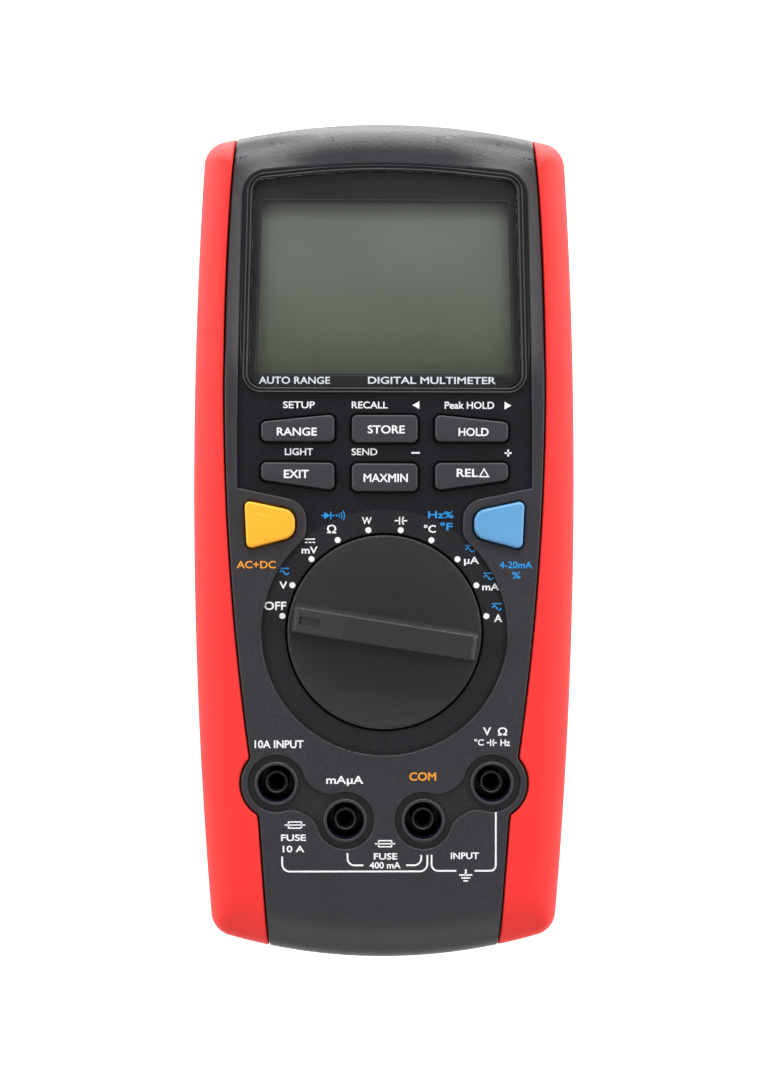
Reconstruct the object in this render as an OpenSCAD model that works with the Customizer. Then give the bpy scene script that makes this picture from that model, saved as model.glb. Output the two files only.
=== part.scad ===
// Handheld digital multimeter, lying face up on its back.
// X runs to the right, Y towards the display end, Z up through the face. Millimetres.

/* [Body] */
// Overall length of the casing
body_l = 180; // [178:0.5:182]
// Overall width at the widest place
body_w = 82.3; // [81.5:0.1:84]
// Height of the front face above the back
face_z = 33; // [32.8:0.1:33.2]
// Height of the joint between the front and rear shells
joint_z = 17; // [16.5:0.1:17.2]
// Depth of the soft side grips over the shells
grip_t = 2.4; // [2.2:0.1:2.6]
// Wall of the shells
wall = 2.2; // [2:0.1:2.3]

/* [Outline] */
// Radius of the long side curves
side_r = 1107; // [900:10:1400]
// Distance of the widest place from the middle, towards the display
widest_y = 12; // [8:0.5:16]
// Radius of the display end
top_r = 152; // [130:2:180]
// Radius of the socket end
low_r = 121.6; // [110:2:150]
// Radius of the four corners
corner_r = 5.4; // [4.5:0.1:6.5]

/* [Selector knob] */
// Distance of the knob axis below the middle
knob_y = -19.6; // [-20:0.1:-19.2]
// Radius of the knob disc
knob_r = 20.7; // [20:0.1:20.8]
// Radius of the well that the knob turns in
well_r = 21.1; // [21:0.1:21.4]
// Length of the grip bar across the knob
bar_l = 39.6; // [38:0.1:40]
// Width of the grip bar
bar_w = 5.4; // [5:0.1:6]
// Height of the grip bar's top above the back
bar_z = 40; // [38:0.1:41]
// Angle of the bar at OFF, from the -X axis
off_angle = 9; // [9:1:9]
// Angle between two switch positions
step_angle = 18; // [18:1:18]

/* [Input sockets] */
// Bore radius of the 4 mm sockets
socket_r = 2.0; // [2:0.01:2.05]
// Radius of the hole for the plug's shroud
shroud_r = 3.95; // [3.8:0.05:4.1]
// Radius of the raised ring round the hole
shroud_rim_r = 4.7; // [4.6:0.1:4.8]
// Distance of the outer sockets from the middle line
outer_socket_x = 23; // [22.5:0.1:23.2]
// Distance of the inner sockets from the middle line
inner_socket_x = 8.3; // [8:0.1:8.6]
// Y of the outer sockets
outer_socket_y = -51.8; // [-52.2:0.1:-51.4]
// Y of the inner sockets
inner_socket_y = -59.7; // [-60:0.1:-59.4]

/* [Keys] */
// Gap round each key
key_gap = 0.35; // [0.3:0.05:0.4]
// Top of the grey keys
key_z = 33.5; // [33.2:0.1:33.8]
// Top of the two coloured buttons
big_key_z = 34.4; // [34:0.1:34.8]
// Depth of the sunk panel below the face
panel_drop = 1; // [0.8:0.1:1]

/* [Rear] */
// Half width of the folding stand
stand_w = 22; // [20:0.5:22]
// Y of the stand's foot when folded
stand_foot_y = -70; // [-71:0.5:-66]
// Y of the stand's hinge
hinge_y = 3; // [2:0.5:3]
// Height of the stand's hinge above the back
hinge_z = 2; // [2:0.05:2.05]

/* [Hidden] */
$fn = 64;
half_l = body_l / 2;
half_w = body_w / 2;
ceiling_z = face_z - 2.8;
rim_ceiling_z = face_z - 6.5;
core_top_z = face_z - 4;
core_low_z = 4;
board_z = 21.8;
board_top = 23.4;
knob_floor_z = 28.6;
knob_floor_low = 26.6;
hub_r = 7;
running = 0.05;
panel_z = face_z - panel_drop;
board_screws = [[-29.4, 30.3], [29.4, 30.3], [-28.5, -44], [28.5, -44], [0, -48.5]];
case_screw_spots = [[-27, 79], [27, 79], [-20, -78], [20, -78]];
sockets = [
    [-outer_socket_x, outer_socket_y],
    [-inner_socket_x, inner_socket_y],
    [inner_socket_x, inner_socket_y],
    [outer_socket_x, outer_socket_y]
];
// Battery bay
bay_x = 26.9;
bay_y = [39.2, 66.3];
bay_roof = 20.6;
battery = [[-20.1, 39.5, 2.9], [26.3, 66, 20.4]];
battery_mid = (battery[0] + battery[1]) / 2;
// Battery door
door_x = 30.4;
door_y = [33.6, 70.4];
door_t = 2.4;
door_screws = [[-15, 36.2], [15, 36.2]];

// Corners of the right-hand keys and the middle keys, before rounding
upper_key = [[10.75, 21.1], [26.3, 21.1], [26.3, 25.2], [10.75, 26.8]];
lower_key = [[10.75, 10.7], [26.3, 12.9], [26.3, 16.6], [10.75, 16.5]];
upper_mid = [[-7, 20.9], [7, 20.9], [7, 26.7], [-7, 26.7]];
lower_mid = [[-7, 10.5], [7, 10.5], [7, 16.4], [-7, 16.4]];
big_key = [[29.3, -1.9], [29.8, 8.5], [19.1, 6.2], [19.1, 0.8]];
key_radii = [1.1, 1.1, 1.1, 1.1];
big_radii = [1.1, 1.1, 2.7, 2.7];

// Display lens and the opening in its printed mask, before rounding
lens = [[-29.2, 32.7], [29.2, 32.7], [28.1, 76.8], [0, 79.8], [-28.1, 76.8]];
lens_radii = [2.8, 2.8, 2.8, 160, 2.8];
window = [[-27.3, 35.6], [27.3, 35.6], [26.3, 72.5], [-26.3, 72.5]];
window_radii = [0.8, 0.8, 0.8, 0.8];

// Routes of the two battery leads, from the snap connector to the board
red_route = [
    [-25.6, 41, 13], [-25.6, 39, 13], [-25.6, 36.8, 13], [-25.5, 34.6, 13.8], [-25.3, 32.8, 15.4],
    [-25.1, 31.8, 17.6], [-25, 31.5, 19.8], [-25, 31.5, 21.8]
];
black_route = [
    [-23.2, 41, 9], [-23.2, 39, 9], [-23.2, 36.6, 9.2], [-23, 34.2, 10.4], [-22.6, 32.4, 12.6],
    [-22.2, 31.4, 15.6], [-22, 31, 18.8], [-22, 31, 21.8]
];
lead_r = 0.7;

// ---------- Plane geometry ----------

function unit(v) = v / norm(v);
function heading(v) = atan2(v[1], v[0]);
function arc(c, r, a0, a1, n) = [for (i = [0:n]) c + r * [cos(a0 + (a1 - a0) * i / n), sin(a0 + (a1 - a0) * i / n)]];

// Where two circles cross, on the left of the line from the first centre to the second
function crossing(c0, r0, c1, r1) = let (
    d = norm(c1 - c0),
    u = (c1 - c0) / d,
    a = (r0 * r0 - r1 * r1 + d * d) / (2 * d),
    h = sqrt(r0 * r0 - a * a)
) c0 + a * u + h * [-u[1], u[0]];

// Right half of the casing's outline, moved in by an inset, from the socket end to the display end
function right_outline(inset) = let (
    r = max(corner_r - inset, 1),
    side_c = [half_w - side_r, widest_y],
    top_c = [0, half_l - top_r],
    low_c = [0, low_r - half_l],
    top_k = crossing(side_c, side_r - inset - r, top_c, top_r - inset - r),
    low_k = crossing(low_c, low_r - inset - r, side_c, side_r - inset - r)
) concat(
    arc(low_c, low_r - inset, -90, heading(low_k - low_c), 6),
    arc(low_k, r, heading(low_k - low_c), heading(low_k - side_c), 5),
    arc(side_c, side_r - inset, heading(low_k - side_c), heading(top_k - side_c), 10),
    arc(top_k, r, heading(top_k - side_c), heading(top_k - top_c), 5),
    arc(top_c, top_r - inset, heading(top_k - top_c), 90, 6)
);
function outline(inset) = let (
    right = right_outline(inset),
    n = len(right)
) concat(right, [for (i = [n - 2:-1:1]) [-right[i][0], right[i][1]]]);

// Half width of the hard face between the two grips
seam_r = 575;
seam_mid_y = 34;
seam_max = 34.2;
bend_y = [-46, -60];
bend_x = [28.65, 26.6];
function lower_seam(y) = y > bend_y[1]
    ? bend_x[1] + (bend_x[0] - bend_x[1]) * (y - bend_y[1]) / (bend_y[0] - bend_y[1])
    : bend_x[1] - 0.075 * (bend_y[1] - y);
function seam(y) = y > bend_y[0] ? seam_max - pow(y - seam_mid_y, 2) / (2 * seam_r) : lower_seam(y);
// Half width of the hard back, which leaves room for the battery bay's walls
back_bend_y = -52;
function back_arc(y) = 33 - pow(y - 37, 2) / 1200;
function back_half(y) = y > back_bend_y ? back_arc(y) : back_arc(back_bend_y) - 0.055 * (back_bend_y - y);
function back_strip() = let (
    ys = [for (y = [-96:6:96]) y]
) concat([for (y = ys) [back_half(y), y]], [for (i = [len(ys) - 1:-1:0]) [-back_half(ys[i]), ys[i]]]);
function face_strip(less) = let (
    ys = [for (y = [-96:6:96]) y]
) concat([for (y = ys) [seam(y) - less, y]], [for (i = [len(ys) - 1:-1:0]) [less - seam(ys[i]), ys[i]]]);

// A polygon with each corner rounded to its own radius
function fillet(a, b, c, r, n) = let (
    u = unit(a - b),
    v = unit(c - b),
    half = acos(u * v) / 2,
    m = b + unit(u + v) * r / sin(half),
    t0 = heading(b + u * r / tan(half) - m),
    t1 = heading(b + v * r / tan(half) - m),
    turn = t1 - t0 > 180 ? t1 - t0 - 360 : (t1 - t0 < -180 ? t1 - t0 + 360 : t1 - t0)
) [for (i = [0:n]) m + r * [cos(t0 + turn * i / n), sin(t0 + turn * i / n)]];
function rounded(pts, radii) = let (n = len(pts)) [
    for (i = [0:n - 1]) each fillet(pts[(i + n - 1) % n], pts[i], pts[(i + 1) % n], radii[i], 5)
];
// A convex polygon with its sides moved out
function grown(pts, d) = let (n = len(pts)) [
    for (i = [0:n - 1]) let (
        u = unit(pts[(i + n - 1) % n] - pts[i]),
        v = unit(pts[(i + 1) % n] - pts[i])
    ) pts[i] - unit(u + v) * d / sin(acos(u * v) / 2)
];
function mirrored(pts) = [for (p = pts) [-p[0], p[1]]];
function add_to(list, d) = [for (x = list) x + d];

module slab(pts, z0, z1) {
    translate([0, 0, z0]) linear_extrude(z1 - z0) polygon(pts);
}
module block(low, high) {
    translate(low) cube(high - low);
}
module post(spot, r, z0, z1) {
    translate([spot[0], spot[1], z0]) cylinder(r = r, h = z1 - z0);
}
module at_screws(spots) {
    for (s = spots) translate([s[0], s[1], 0]) children();
}

// ---------- Casing ----------

// Outside shape of the front shell with its grips, rounded towards the face
module front_shape() {
    difference() {
        hull() {
            slab(outline(0.15), joint_z, joint_z + 0.01);
            slab(outline(0), joint_z + 9, joint_z + 9.01);
            slab(outline(1.3), face_z - 2.7, face_z - 2.69);
            slab(outline(3.6), face_z - 1, face_z - 0.99);
            slab(outline(7.5), face_z - 0.01, face_z);
        }
        // Chin that falls away towards the socket end
        translate([-60, -81.6, face_z]) rotate([-30, 0, 0]) translate([0, -40, 0]) cube([120, 40, 20]);
    }
}
// Outside shape of the rear shell with its grips
module rear_shape() {
    hull() {
        slab(outline(0.15), joint_z - 0.01, joint_z);
        slab(outline(0.3), joint_z - 9, joint_z - 8.99);
        slab(outline(1.5), 4, 4.01);
        slab(outline(3.5), 1.5, 1.51);
        slab(outline(6.2), 0, 0.01);
    }
}
// What of the front shape is the hard shell
module front_hard() {
    slab(outline(grip_t), joint_z - 1, core_top_z);
    slab(face_strip(0), joint_z - 1, face_z + 1);
    for (s = [sockets[0], sockets[3]]) post(s, 7.6, joint_z - 1, face_z + 1);
}
module rear_hard() {
    slab(outline(grip_t), core_low_z, joint_z + 1);
    slab(back_strip(), -1, joint_z + 1);
}
module front_grip(side) {
    color("tomato") difference() {
        intersection() {
            front_shape();
            block([side > 0 ? 1 : -60, -100, 0], [side > 0 ? 60 : -1, 100, 50]);
        }
        front_hard();
    }
}
module rear_grip(side) {
    color("tomato") difference() {
        intersection() {
            rear_shape();
            block([side > 0 ? 1 : -60, -100, -1], [side > 0 ? 60 : -1, 100, 50]);
        }
        rear_hard();
    }
}
module front_grip_left() {
    front_grip(-1);
}
module front_grip_right() {
    front_grip(1);
}
module rear_grip_left() {
    rear_grip(-1);
}
module rear_grip_right() {
    rear_grip(1);
}

module socket_recess() {
    for (side = [-1, 1]) {
        outer = [side * outer_socket_x, outer_socket_y];
        inner = [side * inner_socket_x, inner_socket_y];
        run = inner - outer;
        for (s = [outer, inner]) post(s, 6.1, face_z - 0.8, face_z + 1);
        translate([outer[0], outer[1], face_z - 0.8]) rotate([0, 0, heading(run)])
            translate([0, -3.4, 0]) cube([norm(run), 6.8, 2]);
    }
}
module key_openings(d) {
    for (keys = [upper_key, lower_key]) {
        slab(rounded(grown(keys, d), add_to(key_radii, d)), ceiling_z - 1, face_z + 1);
        slab(rounded(grown(mirrored(keys), d), add_to(key_radii, d)), ceiling_z - 1, face_z + 1);
    }
    for (keys = [upper_mid, lower_mid]) {
        slab(rounded(grown(keys, d), add_to(key_radii, d)), ceiling_z - 1, face_z + 1);
    }
    slab(rounded(grown(big_key, d), add_to(big_radii, d)), ceiling_z - 1, face_z + 1);
    slab(rounded(grown(mirrored(big_key), d), add_to(big_radii, d)), ceiling_z - 1, face_z + 1);
}
module front_hollow() {
    slab(outline(4.6), joint_z - 2, rim_ceiling_z);
    intersection() {
        slab(face_strip(2.6), rim_ceiling_z - 1, ceiling_z);
        slab(outline(7.6), rim_ceiling_z - 1, ceiling_z);
        // The hollow stops short of the sloping chin
        block([-60, -78.5, 0], [60, 100, 50]);
    }
}
module front_case() {
    color("#3f3c42") difference() {
        union() {
            difference() {
                intersection() {
                    front_shape();
                    front_hard();
                }
                front_hollow();
                socket_recess();
                block([-31.4, 9.5, panel_z], [31.4, 31.2, face_z + 1]);
                post([0, knob_y], 26.2, panel_z, face_z + 1);
            }
            post([0, knob_y], well_r + 2, knob_floor_low, panel_z - 0.1);
            for (s = sockets) post(s, shroud_rim_r, board_top + 0.1, face_z + 0.2);
            intersection() {
                union() {
                    for (s = board_screws) post(s, 2.6, board_top, ceiling_z + 0.5);
                }
                front_hard();
            }
            for (s = case_screw_spots) post(s, 3.4, joint_z, rim_ceiling_z + 1);
        }
        post([0, knob_y], well_r, knob_floor_z, face_z + 2);
        post([0, knob_y], hub_r + running, knob_floor_low - 1, face_z + 1);
        for (s = sockets) post(s, shroud_r, board_top - 1, face_z + 2);
        for (s = board_screws) post(s, 1.12, board_top - 1, board_top + 4.8);
        for (s = case_screw_spots) post(s, 1.55, joint_z - 1, joint_z + 9);
        key_openings(key_gap);
        slab(rounded(grown(lens, 0.1), lens_radii), ceiling_z + 0.8, face_z + 1);
        slab(rounded(grown(window, 0.5), window_radii), ceiling_z - 1, face_z + 1);
    }
}
module rear_hollow() {
    slab(outline(4.6), core_low_z + 2, joint_z + 1);
    intersection() {
        slab(face_strip(4.1), wall, core_low_z + 3);
        slab(outline(8.6), wall, core_low_z + 3);
    }
}
module rear_case() {
    color("#35333a") difference() {
        union() {
            difference() {
                intersection() {
                    rear_shape();
                    rear_hard();
                }
                rear_hollow();
            }
            // Floor behind the folding stand and its finger notch
            block([-stand_w - 2.6, stand_foot_y - 3, 0.5], [stand_w + 2.6, hinge_y + 4.6, 5.6]);
            block([-10, stand_foot_y - 10, 0.5], [10, stand_foot_y, 4.6]);
            // Battery bay and the seat of its door
            block([-bay_x - 1.4, bay_y[0] - 1.4, 0.5], [bay_x + 1.4, bay_y[1] + 1.4, bay_roof + 0.75]);
            block([-door_x - 1.5, door_y[0] - 1.5, 0.5], [door_x + 1.5, door_y[1] + 3.6, door_t + 1.6]);
            for (s = door_screws) post(s, 2.8, door_t, 12);
            intersection() {
                union() {
                    for (s = case_screw_spots) post(s, 4.6, wall, joint_z);
                }
                rear_hard();
            }
        }
        block([-stand_w - 0.6, stand_foot_y - 1, -1], [stand_w + 0.6, hinge_y + 2.6, 3.8]);
        post([0, stand_foot_y - 1], 7.5, -1, 2.6);
        translate([-stand_w - 2.1, hinge_y, hinge_z]) rotate([0, 90, 0])
            cylinder(r = 1.2 + running, h = 2 * stand_w + 4.2);
        block([-bay_x, bay_y[0], 0], [bay_x, bay_y[1], bay_roof]);
        // Way out of the bay for the leads
        block([-26.7, bay_y[0] - 2, 7.9], [-21.8, bay_y[0] + 1, 14.2]);
        block([-door_x - 0.15, door_y[0] - 0.15, -1], [door_x + 0.15, door_y[1] + 0.15, door_t]);
        for (x = [-15, 15]) block([x - 3.2, door_y[1] - 1, 1.2], [x + 3.2, door_y[1] + 2.4, door_t]);
        for (s = door_screws) post(s, 1.22, -1, 10.8);
        for (s = case_screw_spots) post(s, 1.65, -1, joint_z + 1);
        for (s = case_screw_spots) post(s, 3.1, -1, 8);
        block([-7.1, 74.9, -1], [7.1, 80.1, 1.9]);
        block([-5.5, 76, -1], [5.5, 79, 5]);
    }
}
module case_screws() {
    color("silver") at_screws(case_screw_spots) {
        difference() {
            translate([0, 0, 6]) cylinder(r = 2.75, h = 2);
            translate([-0.4, -2, 5]) cube([0.8, 4, 1.9]);
            translate([-2, -0.4, 5]) cube([4, 0.8, 1.9]);
        }
        translate([0, 0, 8]) cylinder(r = 1.5, h = 17);
    }
}

// ---------- Display ----------

module display_lens() {
    color("#5c5f5a") slab(rounded(lens, lens_radii), ceiling_z + 1.1, face_z - 0.4);
}
module display_mask() {
    color("#1c1b1e") difference() {
        slab(rounded(grown(lens, -0.2), lens_radii), ceiling_z + 0.8, ceiling_z + 1.1);
        slab(rounded(window, window_radii), ceiling_z, ceiling_z + 2);
    }
}
module lcd_panel() {
    color("#6f7568") block([-28, 34.3, 27.4], [28, 74, 29.4]);
}
module lcd_backlight() {
    color("#dfe3d8") block([-28, 37, 24.9], [28, 74, 27.4]);
}
module lcd_frame() {
    color("#e8e6df") difference() {
        block([-29.6, 33.2, board_top], [29.6, 75.3, ceiling_z - 0.2]);
        block([-28, 34.3, 24.9], [28, 74, 29.4]);
        block([-27.4, 35.2, 29], [27.4, 73.2, ceiling_z + 1]);
        block([-26, 34.5, 23], [26, 36.5, 25]);
    }
}
module contact_strip() {
    color("#2d2a55") block([-26, 34.5, board_top], [26, 36.5, 27.4]);
}

// ---------- Keys ----------

// A key: cap, collar under the face and a foot over its dome
module key(pts, radii, top_z, foot) {
    slab(rounded(pts, radii), ceiling_z - 1.4, top_z);
    slab(rounded(grown(pts, 1), add_to(radii, 1)), ceiling_z - 1.4, ceiling_z - 0.2);
    post(foot, 1.6, 27.4, ceiling_z - 1.3);
}
module dome(foot, top_z) {
    post(foot, 2.6, board_top, top_z);
}
upper_foot = [18.5, 23.5];
lower_foot = [18.5, 14.2];
upper_mid_foot = [0, 23.8];
lower_mid_foot = [0, 13.5];
big_foot = [24.8, 3.3];

module button_range() {
    color("#45434a") key(mirrored(upper_key), key_radii, key_z, [-upper_foot[0], upper_foot[1]]);
}
module button_hold() {
    color("#45434a") key(upper_key, key_radii, key_z, upper_foot);
}
module button_store() {
    color("#45434a") key(upper_mid, key_radii, key_z, upper_mid_foot);
}
module button_exit() {
    color("#45434a") key(mirrored(lower_key), key_radii, key_z, [-lower_foot[0], lower_foot[1]]);
}
module button_rel() {
    color("#45434a") key(lower_key, key_radii, key_z, lower_foot);
}
module button_maxmin() {
    color("#45434a") key(lower_mid, key_radii, key_z, lower_mid_foot);
}
module button_yellow() {
    color("#feb831") key(mirrored(big_key), big_radii, big_key_z, [-big_foot[0], big_foot[1]]);
}
module button_blue() {
    color("#66a1d1") key(big_key, big_radii, big_key_z, big_foot);
}
// Silicone sheet; its domes are drawn at the height they have under a pressed key
module keypad_membrane() {
    color("#b9b7b2") {
        difference() {
            union() {
                block([-27, 9, board_top], [27, 29, 24.6]);
                for (side = [-1, 1])
                    block([side > 0 ? 19.5 : -30, -2, board_top], [side > 0 ? 30 : -19.5, 9.01, 24.6]);
            }
            for (s = [board_screws[0], board_screws[1]]) post(s, 3, 20, 30);
        }
        for (side = [-1, 1]) {
            dome([side * upper_foot[0], upper_foot[1]], 26.5);
            dome([side * lower_foot[0], lower_foot[1]], 26.5);
            dome([side * big_foot[0], big_foot[1]], 26.3);
        }
        dome(upper_mid_foot, 26.5);
        dome(lower_mid_foot, 26.5);
    }
}

// ---------- Selector switch ----------

// Places its children in the switch's frame: +X points along the bar to the pointer end
module in_switch() {
    translate([0, knob_y, 0]) rotate([0, 0, 180 - off_angle]) children();
}
module rotary_knob() {
    dish = 120;
    dish_depth = 1.8;
    color("#37343a") in_switch() difference() {
        union() {
            difference() {
                translate([0, 0, knob_floor_z + 0.4]) cylinder(r = knob_r, h = face_z - knob_floor_z - 0.4);
                translate([0, 0, face_z - dish_depth + dish]) sphere(r = dish, $fn = 128);
            }
            translate([0, bar_w / 2, 0]) rotate([90, 0, 0]) linear_extrude(bar_w) polygon([
                [-bar_l / 2, face_z - 3.5], [bar_l / 2, face_z - 3.5], [bar_l / 2, face_z],
                [bar_l / 2 - 0.6, bar_z - 1.6], [bar_l / 2 - 10.6, bar_z], [-bar_l / 2 + 1.4, bar_z],
                [-bar_l / 2, face_z]
            ]);
            translate([0, 0, knob_floor_low - 0.3]) cylinder(r = hub_r, h = 3);
            translate([-4, -4, 24]) cube([8, 8, 3]);
        }
        translate([0, 0, 23]) cylinder(r = 1.4, h = 8.5);
    }
}
module knob_screw() {
    color("silver") translate([0, knob_y, 0]) {
        translate([0, 0, 22.4]) cylinder(r = 3.2, h = 1.6);
        translate([0, 0, 23.9]) cylinder(r = 1.4, h = 7.1);
    }
}
module switch_rotor() {
    color("#d8d2bf") in_switch() difference() {
        translate([0, 0, 24]) cylinder(r = 15.5, h = 2.3);
        translate([-4, -4, 23]) cube([8, 8, 5]);
        for (a = [0, 180]) rotate([0, 0, a]) translate([9, -1.05, 24.1]) cube([8, 2.1, 2.1]);
    }
}
// Leaf contacts that wipe the board's switch pads
module rotor_contacts() {
    color("#c9a14a") in_switch() for (a = [45, 90, 135, 225, 270, 315]) rotate([0, 0, a]) {
        translate([7, -0.8, 23.8]) cube([7, 1.6, 0.2]);
        translate([12.5, 0, 23.5]) cylinder(r = 0.6, h = 0.3);
    }
}
module detent_ring() {
    color("#ece7d8") translate([0, knob_y, 0]) difference() {
        translate([0, 0, 24]) cylinder(r = 20.2, h = knob_floor_low - 24);
        translate([0, 0, 23]) cylinder(r = 17.6, h = 5);
        for (i = [0:19]) rotate([0, 0, off_angle + i * step_angle]) translate([17.3, 0, 23])
            cylinder(r = 1.2, h = 5);
    }
}
module detent_balls() {
    color("silver") in_switch() for (a = [0, 180]) rotate([0, 0, a]) translate([16.25, 0, 25.15])
        sphere(r = 1);
}
// Drawn as sleeves of the springs' outer size
module detent_springs() {
    color("gray") in_switch() for (a = [0, 180]) rotate([0, 0, a]) translate([9, 0, 25.15])
        rotate([0, 90, 0]) difference() {
            cylinder(r = 0.9, h = 6.25);
            translate([0, 0, -1]) cylinder(r = 0.55, h = 9);
        }
}

// ---------- Circuit board ----------

module main_board() {
    color("#2f6b46") difference() {
        union() {
            block([-31, -73.5, board_z], [31, 75.2, board_top]);
            block([-15.5, -79, board_z], [15.5, 80, board_top]);
        }
        for (s = board_screws) post(s, 1.3, 20, 25);
        for (s = sockets) post(s, 2.55, 20, 25);
        post([0, knob_y], 6, 20, 25);
    }
}
module board_screws() {
    color("silver") at_screws(board_screws) {
        difference() {
            translate([0, 0, board_z - 1.4]) cylinder(r = 2.3, h = 1.4);
            translate([-0.35, -1.6, board_z - 2]) cube([0.7, 3.2, 1.4]);
            translate([-1.6, -0.35, board_z - 2]) cube([3.2, 0.7, 1.4]);
        }
        translate([0, 0, board_z]) cylinder(r = 1.1, h = 6);
    }
}
module socket(spot) {
    color("#b9a878") translate([spot[0], spot[1], 0]) difference() {
        union() {
            translate([0, 0, 11.3]) cylinder(r = 2.45, h = 19);
            translate([0, 0, board_z - 1.2]) cylinder(r = 3.8, h = 1.2);
        }
        translate([0, 0, 12.3]) cylinder(r = socket_r, h = 20);
    }
}
module socket_10a() {
    socket(sockets[0]);
}
module socket_ma() {
    socket(sockets[1]);
}
module socket_com() {
    socket(sockets[2]);
}
module socket_v() {
    socket(sockets[3]);
}
// A cartridge fuse along X: tube with a cap on each end
module cartridge(low_x, y, z, r, len) {
    translate([low_x, y, z]) rotate([0, 90, 0]) {
        cylinder(r = r - 0.25, h = len);
        cylinder(r = r, h = 6);
        translate([0, 0, len - 6]) cylinder(r = r, h = 6);
    }
}
big_fuse = [-30.5, -36, 15.5, 5.15, 38];
small_fuse = [-30.5, -22, 17.6, 3.15, 32];
module fuse_10a() {
    color("#e9e4d6") cartridge(big_fuse[0], big_fuse[1], big_fuse[2], big_fuse[3], big_fuse[4]);
}
module fuse_ma() {
    color("#e9e4d6") cartridge(small_fuse[0], small_fuse[1], small_fuse[2], small_fuse[3], small_fuse[4]);
}
// Spring clips that hold a fuse under the board
module clip_pair(f) {
    for (x = [f[0] + 0.7, f[0] + f[4] - 5.2]) {
        block([x, f[1] - f[3] - 0.5, board_z - 0.4], [x + 4.5, f[1] + f[3] + 0.5, board_z]);
        for (y = [f[1] - f[3] - 0.5, f[1] + f[3]]) block([x, y, f[2] - 2], [x + 4.5, y + 0.5, board_z]);
    }
}
module fuse_clips() {
    color("silver") {
        clip_pair(big_fuse);
        clip_pair(small_fuse);
    }
}
// Thick wire bridge that the high current flows through
module current_shunt() {
    color("#b87f4a") {
        for (x = [-14, 4]) post([x, -71], 0.8, 15, board_z);
        for (x = [-14, 4]) translate([x, -71, 15]) sphere(r = 0.8);
        translate([-14, -71, 15]) rotate([0, 90, 0]) cylinder(r = 0.8, h = 18);
    }
}
module surge_absorbers() {
    color("#3b6fb0") for (s = [[13, -71], [23, -65]]) {
        translate([s[0], s[1], 16]) rotate([90, 0, 0]) cylinder(r = 4, h = 3.6);
        for (x = [-2, 2]) post([s[0] + x, s[1] - 1.8], 0.4, 16, board_z);
    }
}
module shield_plate() {
    color("lightgray") {
        block([-24, 0.5, 18.6], [24, 28.5, 19]);
        for (x = [-24, 21]) for (y = [0.5, 28.1]) block([x, y, 18.8], [x + 3, y + 0.4, board_z]);
    }
}
module board_chips() {
    color("#222326") {
        block([-17, 7, 20.2], [-3, 21, board_z]);
        block([6, 9, 20.2], [18, 21, board_z]);
        block([-2, -8, 20.6], [6, -3, board_z]);
    }
    color("silver") block([-1, 10, 20], [3.4, 20, board_z]);
}
module capacitors() {
    color("#2a2f55") for (y = [-8, -16]) post([24, y], 3, 13.8, board_z);
}
module buzzer() {
    color("#1e1e20") difference() {
        post([19.5, -31], 7, 16.2, board_z);
        post([19.5, -31], 1.2, 15, 18);
    }
}

// ---------- Power ----------

module battery_9v() {
    color("#50555c") block(battery[0], battery[1]);
    color("silver") {
        translate([-22.4, battery_mid[1] - 6.35, battery_mid[2]]) rotate([0, 90, 0]) cylinder(r = 2.9, h = 2.4);
        translate([-22.4, battery_mid[1] + 6.35, battery_mid[2]]) rotate([0, 90, 0]) cylinder(r = 4, h = 2.4);
    }
}
module battery_snap() {
    color("#202022") difference() {
        block([-26.4, battery_mid[1] - 12.6, battery_mid[2] - 6], [-20.2, battery_mid[1] + 12.6, battery_mid[2] + 6]);
        translate([-22.5, battery_mid[1] - 6.35, battery_mid[2]]) rotate([0, 90, 0]) cylinder(r = 3, h = 9);
        translate([-22.5, battery_mid[1] + 6.35, battery_mid[2]]) rotate([0, 90, 0]) cylinder(r = 4.1, h = 9);
        // Where the two leads go in
        for (p = [red_route[0], black_route[0]]) translate([p[0], p[1] - 5, p[2]]) rotate([-90, 0, 0])
            cylinder(r = lead_r + 0.05, h = 5);
    }
}

// A round lead swept along a route, with a ring of corners at each point
lead_sides = 8;
function route_dir(route, i) = unit(route[min(i + 1, len(route) - 1)] - route[max(i - 1, 0)]);
function ring(p, dir, r) = let (
    across = [1, 0, 0],
    up = cross(dir, across),
    u = unit(up)
) [for (k = [0:lead_sides - 1]) p + r * (across * cos(k * 360 / lead_sides) + u * sin(k * 360 / lead_sides))];
module swept(route, r) {
    n = len(route);
    pts = [for (i = [0:n - 1]) each ring(route[i], route_dir(route, i), r)];
    sides = [for (i = [0:n - 2]) for (k = [0:lead_sides - 1]) let (m = (k + 1) % lead_sides) [
        i * lead_sides + k, i * lead_sides + m, (i + 1) * lead_sides + m, (i + 1) * lead_sides + k
    ]];
    first = [for (k = [lead_sides - 1:-1:0]) k];
    last = [for (k = [0:lead_sides - 1]) (n - 1) * lead_sides + k];
    polyhedron(points = pts, faces = concat([first], sides, [last]));
}
module lead_red() {
    color("red") swept(red_route, lead_r);
}
module lead_black() {
    color("black") swept(black_route, lead_r);
}
module battery_pad() {
    color("#4a4a4a") block([-14, 46, door_t], [20, 60, battery[0][2]]);
}
module battery_door() {
    color("#35333a") difference() {
        union() {
            block([-door_x, door_y[0], 0.2], [door_x, door_y[1], door_t]);
            for (x = [-15, 15]) block([x - 3, door_y[1] - 1, 1.4], [x + 3, door_y[1] + 2.2, door_t]);
        }
        for (s = door_screws) post(s, 1.35, -1, 4);
        for (s = door_screws) post(s, 2.5, -1, 1.5);
        // Finger ribs
        for (y = [60:2.4:66]) block([-12, y, 0], [12, y + 1.1, 0.7]);
    }
}
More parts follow.
